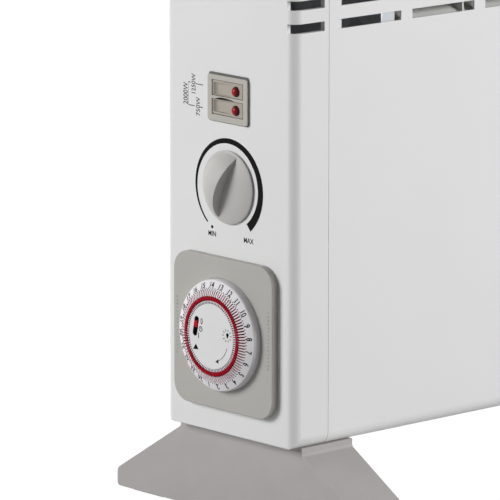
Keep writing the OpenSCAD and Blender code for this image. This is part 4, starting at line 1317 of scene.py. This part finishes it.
    def ribs(self) -> Object:
        """The ribs with straight slots between them, and the low fins at their inner ends.

        Returns:
            All of them as one object.
        """
        outer, floor = self.groove[1], self.groove[2] - self.root
        start, end, drop = self.rib_in, outer + self.root, self.rib_drop
        half, broad = ((math.pi * r / self.count - self.rib_gap / 2) for r in (start, end))
        plan = [(start, -half), (end, -broad), (end, broad), (start, half)]
        rib = slab(plan, floor, self.ring_top + 1)
        near, far, low = start - 1, end + 1, floor - 1
        side = [
            (near, low), (far, low), (far, self.cone(far) - drop), (near, self.cone(near) - drop)
        ]
        combine(rib, prism([(r, -1, z) for r, z in side], (0, 2, 0)), "INTERSECT")
        near, thin, top = self.fin
        fin = block((near, -thin / 2, floor), (start + self.fin_root, thin / 2, top))
        rib = join([rib, fin])
        rib.rotation_euler.z = math.radians(180 / self.count)
        return turn_copies(settle(rib), self.count)

    def bed(self) -> Object:
        """The red bed under the ribs and behind the tappets, darkened as painted shade.

        Returns:
            The bed.
        """
        inner, outer, floor = self.groove
        start, wall = self.rib_in, inner + self.bed_wall
        near, far = (self.cone(r) - self.bed_depth for r in (start, outer))
        top = self.ring_top - self.bed_drop
        profile = [
            (inner, floor), (outer, floor), (outer, far), (start, near), (wall, near), (wall, top),
            (inner, top),
        ]
        return lathe(profile, steps=96)

    def dial(self) -> None:
        """The white dial with its ribs and its red bed, turned on the stem."""
        body, slot = "timer_dial", "dial_white"
        self.bench.put(self.ring(), "dial_ring", DIAL_WHITE, body, self.place, slot, [body])
        # The ribs' pink cast is painted reflection of the red tappets.
        self.bench.put(self.ribs(), "dial_ribs", RIB_PAINTED_RED_LIGHT, body, self.place, slot, smooth=False)
        # The bed's darker red is painted shade in the gaps.
        self.bench.put(self.bed(), "tappet_bed", BED_PAINTED_SHADE_RED, body, self.place, "tappet_red")

    def one_tappet(self) -> Object:
        """A single tappet at the dial's first place.

        Returns:
            The tappet.
        """
        long, wide, high = self.tappet
        low = self.groove[2] + PLAY
        start, end, top = self.tappet_in, self.tappet_in + long, low + high
        (rear, front), (rear_fall, front_fall) = self.tappet_slopes, self.tappet_falls
        side = [
            (start, low), (end, low), (end, top - front_fall), (end - front, top),
            (start + rear, top), (start, top - rear_fall),
        ]
        made = prism([(r, -wide / 2, z) for r, z in side], (0, wide, 0))
        return soften(made, self.tappet_edge, segments=1)

    def tappets(self) -> None:
        """All the tappets, of which the first few slide by themselves."""
        ring = []
        for number in range(self.count):
            tappet = self.one_tappet()
            tappet.rotation_euler.z = number * 2 * math.pi / self.count
            ring.append(settle(tappet))
        for number, tappet in enumerate(ring[: self.loose], 1):
            body = f"tappet_{number}"
            self.bench.put(
                tappet, f"tappet_head_{number}", TAPPET_RED, body, self.place, "tappet_red", [body],
                smooth=False,
            )
        self.bench.put(
            join(ring[self.loose :]), "tappet_ring", TAPPET_RED, "timer_dial", self.place,
            "tappet_red", ["timer_tappets"], smooth=False,
        )

    def slot_outline(self, wide: float, long: float) -> list[Point]:
        """A round-ended outline at the override slot's place and lean.

        Args:
            wide: The outline's width.
            long: The outline's length.

        Returns:
            The outline.
        """
        (at_x, at_y), turn = self.slot_at, math.radians(-self.lean)
        return [
            (
                at_x + x * math.cos(turn) - y * math.sin(turn),
                at_y + x * math.sin(turn) + y * math.cos(turn),
            )
            for x, y in rounded_box(wide, long, wide / 2 - self.slot_flat, steps=8)
        ]

    def disc(self) -> None:
        """The fixed disc on its stem, with the dark well of its slot."""
        root, radius, low, top = self.gear[1] - 2, self.face_r, self.face_low, self.face_top
        edge = self.face_edge
        profile = [
            (0, root), (self.stem_r, root), (self.stem_r, low), (radius, low), (radius, top - edge),
            (radius - edge, top), (0, top),
        ]
        made = lathe(profile, steps=128)
        (wide, long, deep), wall = self.slot_size, self.slot_wall
        base, (less, sunk, floor) = top - deep, self.well_gaps
        cut(made, slab(self.slot_outline(wide, long), base, top + 1))
        self.bench.put(
            made, "fixed_disc", FACE_WHITE, "housing", self.place, "dial_white", ["timer_face"]
        )
        well = slab(self.slot_outline(wide - less, long - less), base, top - sunk)
        bore = self.slot_outline(wide - 2 * wall, long - 2 * wall)
        cut(well, slab(bore, base + floor, top + 1))
        self.bench.put(well, "slot_well", WELL_BROWN, place=self.place, slot="black")

    def slider(self) -> None:
        """The override slider, where it rests in its slot."""
        wide, long, proud = self.slider_size
        low, turn = self.face_top - self.slot_size[2] + PLAY, math.radians(-self.lean)
        made = slab(self.slot_outline(wide, long), low, self.face_top + proud)
        rest = self.slider_rest
        made.location = (-math.sin(turn) * rest, math.cos(turn) * rest, 0)
        soften(settle(made), self.slider_edge, segments=3)
        body = "override_slider"
        self.bench.put(
            made, "slider_button", TAPPET_RED, body, self.place, "tappet_red", [body]
        )

    def build(self) -> None:
        """Makes the whole timer."""
        self.plate_piece()
        self.strips()
        self.dial()
        self.tappets()
        self.disc()
        self.slider()


@dataclass
class Print:
    """The printed figures, scales and signs.

    Places are those of the control end's own frame, and of the disc's on the fixed disc. Turns are
    degrees from the x axis.
    """

    bench: Bench
    ink: float = 0.04
    lift: float = 0.01
    weight: float = 0.015
    power_words: tuple[tuple[str, Point, float, float], ...] = (
        ("2000W", (-34.0, 178.6), 3.5, 0.79),
        ("1250W", (-27.7, 184.2), 3.15, 0.84),
        ("750W", (-24.1, 172.7), 3.15, 0.9),
    )
    power_strokes: tuple[tuple[Point, Point, float], ...] = (
        ((-31.9, 184.9), (-30.4, 184.9), 0.5),
        ((-31.9, 172.75), (-27.1, 172.75), 0.45),
        ((-26.1, 184.6), (-20.3, 184.6), 0.45),
        ((-22.4, 172.6), (-20.8, 172.6), 0.6),
        ((-31.9, 172.75), (-31.9, 184.9), 0.14),
    )
    scale_height: float = 132.4
    arc_r: float = 26.5
    arc_wide: Point = (0.9, 4.7)
    arc_turns: Point = (230.0, -51.0)
    arc_steps: int = 56
    dot: tuple[float, Point] = (0.9, (-13.3, -22.2))
    limits: tuple[tuple[str, Point], ...] = (("MIN", (-13.3, -25.9)), ("MAX", (15.2, -25.8)))
    limit_cap: float = 2.75
    limit_stretch: float = 0.92
    limit_weight: float = 0.05
    hours: int = 24
    hour_cap: float = 3.2
    hour_stretch: float = 0.85
    hour_weight: float = 0.08
    hour_r: float = 26.9
    front_hour: int = 8
    front_turn: float = 5.0
    tick_r: Point = (24.95, 25.7)
    tick: Point = (0.4, 0.76)
    inner_tick_r: Point = (17.62, 18.7)
    inner_tick: Point = (0.64, 0.4)
    sign_cap: float = 3.2
    sign_words: tuple[tuple[str, Point, float], ...] = (
        ("0", (-7.4, 6.9), 0.8),
        ("I", (-9.8, -1.0), 1.0),
    )
    sign_bars: tuple[tuple[Point, Point, float], ...] = (
        ((-8.2, 2.8), (-8.2, 3.5), 0.3),
        ((-8.2, 2.8), (-7.65, 2.8), 0.3),
        ((12.9, 1.2), (12.9, 2.9), 1.0),
    )
    sign_points: tuple[tuple[Point, Point, Point], ...] = (
        ((-14.3, -8.8), (-9.9, -8.4), (-11.9, -5.6)),
        ((3.4, -12.9), (5.7, -11.2), (5.9, -13.5)),
    )
    clock_at: Point = (-8.2, 2.8)
    clock_r: Point = (1.0, 1.45)
    bulb: tuple[float, Point] = (1.0, (12.9, 2.9))
    rays: int = 10
    rays_at: Point = (12.5, 2.4)
    ray_r: Point = (2.3, 3.6)
    ray_wide: float = 0.35
    sweep_r: Point = (13.55, 13.25)
    sweep_turns: Point = (-19.0, -66.0)
    sweep_steps: int = 16
    spot_steps: int = 24

    def flat(self, outline: Sequence[Point]) -> Object:
        """A flat printed shape."""
        return slab(outline, self.lift, self.lift + self.ink)

    def spot(self, radius: float, centre: Point) -> Object:
        """A round printed spot."""
        last = 360 - 360 / self.spot_steps
        return self.flat(arc_points(radius, 0, last, self.spot_steps - 1, centre))

    def bar(self, start: Point, end: Point, wide: float) -> Object:
        """A straight printed line.

        Args:
            start: The place of one end.
            end: The place of the other end.
            wide: The line's width.

        Returns:
            The line.
        """
        a, b = Vector(start), Vector(end)
        side = (b - a).normalized().orthogonal() * wide / 2
        return self.flat([tuple(a + side), tuple(b + side), tuple(b - side), tuple(a - side)])

    def words(
        self,
        text: str,
        centre: Point,
        cap: float,
        turn: float = 0.0,
        stretch: float = 1.0,
        weight: float | None = None,
    ) -> Object:
        """Printed words about a centre.

        Args:
            text: The words or the number.
            centre: The place of their middle.
            cap: Height of a capital or a figure.
            turn: Their turn in degrees.
            stretch: The share of the font's own width.
            weight: How far the strokes are widened, or None for the print's own weight.

        Returns:
            The words.
        """
        made = lettering(text, cap, self.ink, self.weight if weight is None else weight)
        made.scale.x = stretch
        made.rotation_euler.z = math.radians(turn)
        made.location = (*centre, self.lift + self.ink / 2)
        return settle(made)

    def power_figures(self) -> None:
        """The three power figures beside the switch, and the lines that lead to the rockers."""
        place = self.bench.on_end(0)
        words = [self.words(text, at, cap, 90, wide) for text, at, cap, wide in self.power_words]
        self.bench.put(join(words), "power_figures", SHADE_INK, place=place, smooth=False)
        lines = [self.bar(*stroke) for stroke in self.power_strokes]
        self.bench.put(join(lines), "power_lines", FINE_INK, place=place, smooth=False)

    def thermostat_scale(self) -> None:
        """The swelling arc round the knob, with its two words and its dot."""
        (thin, thick), (start, end) = self.arc_wide, self.arc_turns
        inner = []
        for i in range(self.arc_steps + 1):
            turn = math.radians(start + (end - start) * i / self.arc_steps)
            radius = self.arc_r - thin - (thick - thin) * i / self.arc_steps
            inner.append((radius * math.cos(turn), radius * math.sin(turn)))
        outer = arc_points(self.arc_r, start, end, self.arc_steps)
        marks = [self.flat([*outer, *reversed(inner)]), self.spot(*self.dot)]
        for text, centre in self.limits:
            marks.append(
                self.words(text, centre, self.limit_cap, 0, self.limit_stretch, self.limit_weight)
            )
        place = self.bench.on_end(self.scale_height)
        self.bench.put(join(marks), "thermostat_scale", INK, place=place, smooth=False)

    def on_cone(self, piece: Object, timer: Timer, radius: float, turn: float) -> Object:
        """Lays a flat piece on the number ring, its top outwards.

        Args:
            piece: The piece, drawn about the origin.
            timer: The timer that carries the ring.
            radius: The radius of its middle.
            turn: Its turn round the dial in degrees.

        Returns:
            The piece in its place.
        """
        place = (
            Matrix.Rotation(math.radians(turn - 90), 4, "Z")
            @ Matrix.Translation((0, radius, timer.cone(radius)))
            @ Matrix.Rotation(-math.atan(timer.slope), 4, "X")
        )
        piece.matrix_world = place @ piece.matrix_world
        return settle(piece)

    def dial_numbers(self, timer: Timer) -> None:
        """The hours round the dial, and the two rings of quarter-hour ticks.

        Args:
            timer: The timer that carries them.
        """
        marks = []
        for hour in range(1, self.hours + 1):
            word = self.words(
                str(hour), (0, 0), self.hour_cap, 0, self.hour_stretch, self.hour_weight
            )
            turn = self.front_turn + 360 / self.hours * (hour - self.front_hour)
            marks.append(self.on_cone(word, timer, self.hour_r, turn))
        tick = self.flat(rounded_box(*self.tick, 0))
        self.on_cone(tick, timer, sum(self.tick_r) / 2, self.front_turn)
        (low, high), (near, far) = self.inner_tick_r, (wide / 2 for wide in self.inner_tick)
        top = timer.ring_top + self.lift
        inner = slab([(low, -near), (high, -far), (high, far), (low, near)], top, top + self.ink)
        for name, piece in (
            ("hour_figures", join(marks)),
            ("quarter_ticks", turn_copies(tick, timer.count)),
            ("inner_ticks", turn_copies(inner, timer.count)),
        ):
            self.bench.put(piece, name, INK, "timer_dial", timer.place, smooth=False)

    def face_signs(self, timer: Timer) -> None:
        """The signs on the fixed disc.

        Args:
            timer: The timer that carries the disc.
        """
        (near, far), low, high = self.clock_r, self.lift, self.lift + self.ink
        clock = lathe([(near, low), (far, low), (far, high), (near, high)], self.spot_steps)
        clock.location.x, clock.location.y = self.clock_at
        settle(clock)
        signs = [self.words(text, at, self.sign_cap, 0, wide) for text, at, wide in self.sign_words]
        signs += [clock, self.spot(*self.bulb)]
        signs += [self.bar(*line) for line in self.sign_bars]
        signs += [self.flat(corners) for corners in self.sign_points]
        x, y = self.rays_at
        for ray in range(self.rays):
            turn = 2 * math.pi * ray / self.rays
            ends = [(x + r * math.cos(turn), y + r * math.sin(turn)) for r in self.ray_r]
            signs.append(self.bar(*ends, self.ray_wide))
        (outer, inner), (start, end) = self.sweep_r, self.sweep_turns
        sweep = arc_points(outer, start, end, self.sweep_steps)
        signs.append(self.flat(sweep + arc_points(inner, end, start, self.sweep_steps)))
        raised = timer.place @ Matrix.Translation((0, 0, timer.face_top))
        self.bench.put(join(signs), "disc_signs", INK, place=raised, smooth=False)

    def build(self, timer: Timer) -> None:
        """Prints everything.

        Args:
            timer: The timer, which carries part of the print.
        """
        self.power_figures()
        self.thermostat_scale()
        self.dial_numbers(timer)
        self.face_signs(timer)


@dataclass
class CarriedOver:
    """The CAD nodes that are shown as they are, each with its finish."""

    finishes: dict[str, Finish] = field(
        default_factory=lambda: {
            "base_grille": WHITE_PAINT,
            "outlet_grille": LOUVRE_WHITE,
            "control_bulkhead": GALVANISED,
            "plain_bulkhead": GALVANISED,
            "heat_baffle": MILL_STEEL,
            "element_bracket": MILL_STEEL,
            "element_1250w": ELEMENT_STEEL,
            "element_750w": ELEMENT_STEEL,
            "ceramic_bushes": CERAMIC,
            "thermal_cutout": PHENOLIC,
            "thermostat_body": PHENOLIC,
            "thermostat_shaft": BRASS,
            "thermostat_screws": SCREW_ZINC,
            "switch_tabs": BRASS,
            "timer_housing": MOVEMENT_GREY,
            "movement_plate": BRASS,
            "timer_motor": CAN_ZINC,
            "timer_pinion": BRASS,
            "timer_microswitch": BLACK_PLASTIC,
            "timer_screws": SCREW_ZINC,
            "terminal_block": NYLON,
            "wiring_loom": WIRE_SLEEVE,
            "cord_gland": BLACK_PLASTIC,
            "foot_pads": PAD_RUBBER,
            "foot_screws": SCREW_ZINC,
            "rear_screws": SCREW_ZINC,
        }
    )

    def dress(self) -> None:
        """Gives each shown node its finish."""
        for name, finish in self.finishes.items():
            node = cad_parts[name]
            node.data.materials.clear()
            node.data.materials.append(finish.material())
            log.info("%s: CAD node in %s", name, finish.name)


@dataclass
class Studio:
    """The pale floor, the soft lights and the camera.

    Each light has its direction from the control end, and then its distance, size and power.
    """

    azimuth: float = -41.95
    elevation: float = 11.28
    lens: float = 400.0
    sensor: float = 36.0
    distance: float = 2.8935
    target: Point3 = (-0.2587, -0.01635, 0.1501)
    sight: tuple[float, float] = (0.05, 60.0)
    floor_wide: float = 40.0
    floor_shade: float = 0.35
    floor_glow: float = 1.3
    glow_share: float = 0.75
    fill: float = 0.07
    lights: tuple[tuple[str, Point3, float, float, float], ...] = (
        ("end_light", (-1.0, 0.62, 0.45), 2.2, 1.0, 39.5),
        ("front_light", (0.5, -1.0, 0.4), 2.6, 1.2, 52.5),
        ("back_light", (0.35, 1.0, 0.35), 2.6, 1.2, 28.0),
    )

    def seen(self, tree: bpy.types.NodeTree) -> bpy.types.NodeSocket:
        """Adds nodes that give 1 to camera, glossy and transmission rays and 0 to the others.

        Args:
            tree: The node tree of the floor's material or of the world.

        Returns:
            The output that holds the value.
        """
        path = tree.nodes.new("ShaderNodeLightPath")
        result = path.outputs["Is Camera Ray"]
        for kind in ("Is Glossy Ray", "Is Transmission Ray"):
            either = tree.nodes.new("ShaderNodeMath")
            either.operation = "MAXIMUM"
            tree.links.new(result, either.inputs[0])
            tree.links.new(path.outputs[kind], either.inputs[1])
            result = either.outputs[0]
        return result

    def floor(self) -> None:
        """A wide pale floor that shows white and keeps a soft shadow."""
        clear()
        bpy.ops.mesh.primitive_plane_add(size=self.floor_wide)
        floor = bpy.context.object
        floor.name = "floor"
        made = bpy.data.materials.new("pale_floor")
        made.use_nodes = True
        nodes, links = made.node_tree.nodes, made.node_tree.links
        shader = nodes["Principled BSDF"]
        shader.inputs["Base Color"].default_value = (*[self.floor_shade] * 3, 1)
        shader.inputs["Roughness"].default_value = 0.9
        glow = nodes.new("ShaderNodeEmission")
        glow.inputs["Strength"].default_value = self.floor_glow
        share = nodes.new("ShaderNodeMath")
        share.operation = "MULTIPLY"
        share.inputs[1].default_value = self.glow_share
        mix = nodes.new("ShaderNodeMixShader")
        links.new(self.seen(made.node_tree), share.inputs[0])
        links.new(share.outputs[0], mix.inputs["Fac"])
        links.new(shader.outputs[0], mix.inputs[1])
        links.new(glow.outputs[0], mix.inputs[2])
        links.new(mix.outputs[0], nodes["Material Output"].inputs["Surface"])
        floor.data.materials.append(made)

    def world(self) -> None:
        """A low even light all round, which the camera sees as white."""
        world = bpy.data.worlds.new("studio")
        bpy.context.scene.world = world
        world.use_nodes = True
        nodes, links = world.node_tree.nodes, world.node_tree.links
        fill, white = nodes["Background"], nodes.new("ShaderNodeBackground")
        for light, strength in ((fill, self.fill), (white, 1.0)):
            light.inputs["Color"].default_value = (1, 1, 1, 1)
            light.inputs["Strength"].default_value = strength
        mix = nodes.new("ShaderNodeMixShader")
        links.new(self.seen(world.node_tree), mix.inputs["Fac"])
        links.new(fill.outputs[0], mix.inputs[1])
        links.new(white.outputs[0], mix.inputs[2])
        links.new(mix.outputs[0], nodes["World Output"].inputs["Surface"])

    def lamp(self, name: str, toward: Point3, distance: float, size: float, power: float) -> None:
        """An area light that looks at the control end.

        Args:
            name: Its name.
            toward: The direction in which it stands.
            distance: How far off it stands, in metres.
            size: Its side, in metres.
            power: Its power, in watts.
        """
        clear()
        bpy.ops.object.light_add(type="AREA")
        lamp = bpy.context.object
        lamp.name = name
        lamp.data.shape = "SQUARE"
        lamp.data.size = size
        lamp.data.energy = power
        aim = Vector(toward).normalized()
        lamp.location = Vector(self.target) + aim * distance
        lamp.rotation_euler = aim.to_track_quat("Z", "Y").to_euler()

    def camera(self) -> None:
        """The camera at the photograph's angle."""
        clear()
        bpy.ops.object.camera_add()
        camera = bpy.context.object
        turn, rise = math.radians(self.azimuth), math.radians(self.elevation)
        back = Vector(
            (math.sin(turn) * math.cos(rise), -math.cos(turn) * math.cos(rise), math.sin(rise))
        )
        right = Vector((math.cos(turn), math.sin(turn), 0))
        matrix = Matrix((right, back.cross(right), back)).transposed().to_4x4()
        matrix.translation = Vector(self.target) + back * self.distance
        camera.matrix_world = matrix
        camera.data.lens = self.lens
        camera.data.sensor_width = self.sensor
        camera.data.clip_start, camera.data.clip_end = self.sight
        bpy.context.scene.camera = camera

    def build(self) -> None:
        """Sets up the whole studio."""
        self.floor()
        self.world()
        for light in self.lights:
            self.lamp(*light)
        self.camera()
        bpy.context.scene.view_settings.view_transform = "Standard"


def main() -> None:
    """Builds the heater piece by piece, then the studio round it."""
    logging.basicConfig(level=logging.INFO, format="%(name)s: %(message)s")
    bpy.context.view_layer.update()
    bench = Bench()
    timer = Timer(bench)
    steps: list[Callable[[], None]] = [
        Casing(bench).build,
        Feet(bench).build,
        Switch(bench).build,
        Thermostat(bench).build,
        timer.build,
        lambda: Print(bench).build(timer),
        CarriedOver().dress,
        Studio().build,
    ]
    for step in steps:
        step()
    clear()


if __name__ == "__main__":
    main()
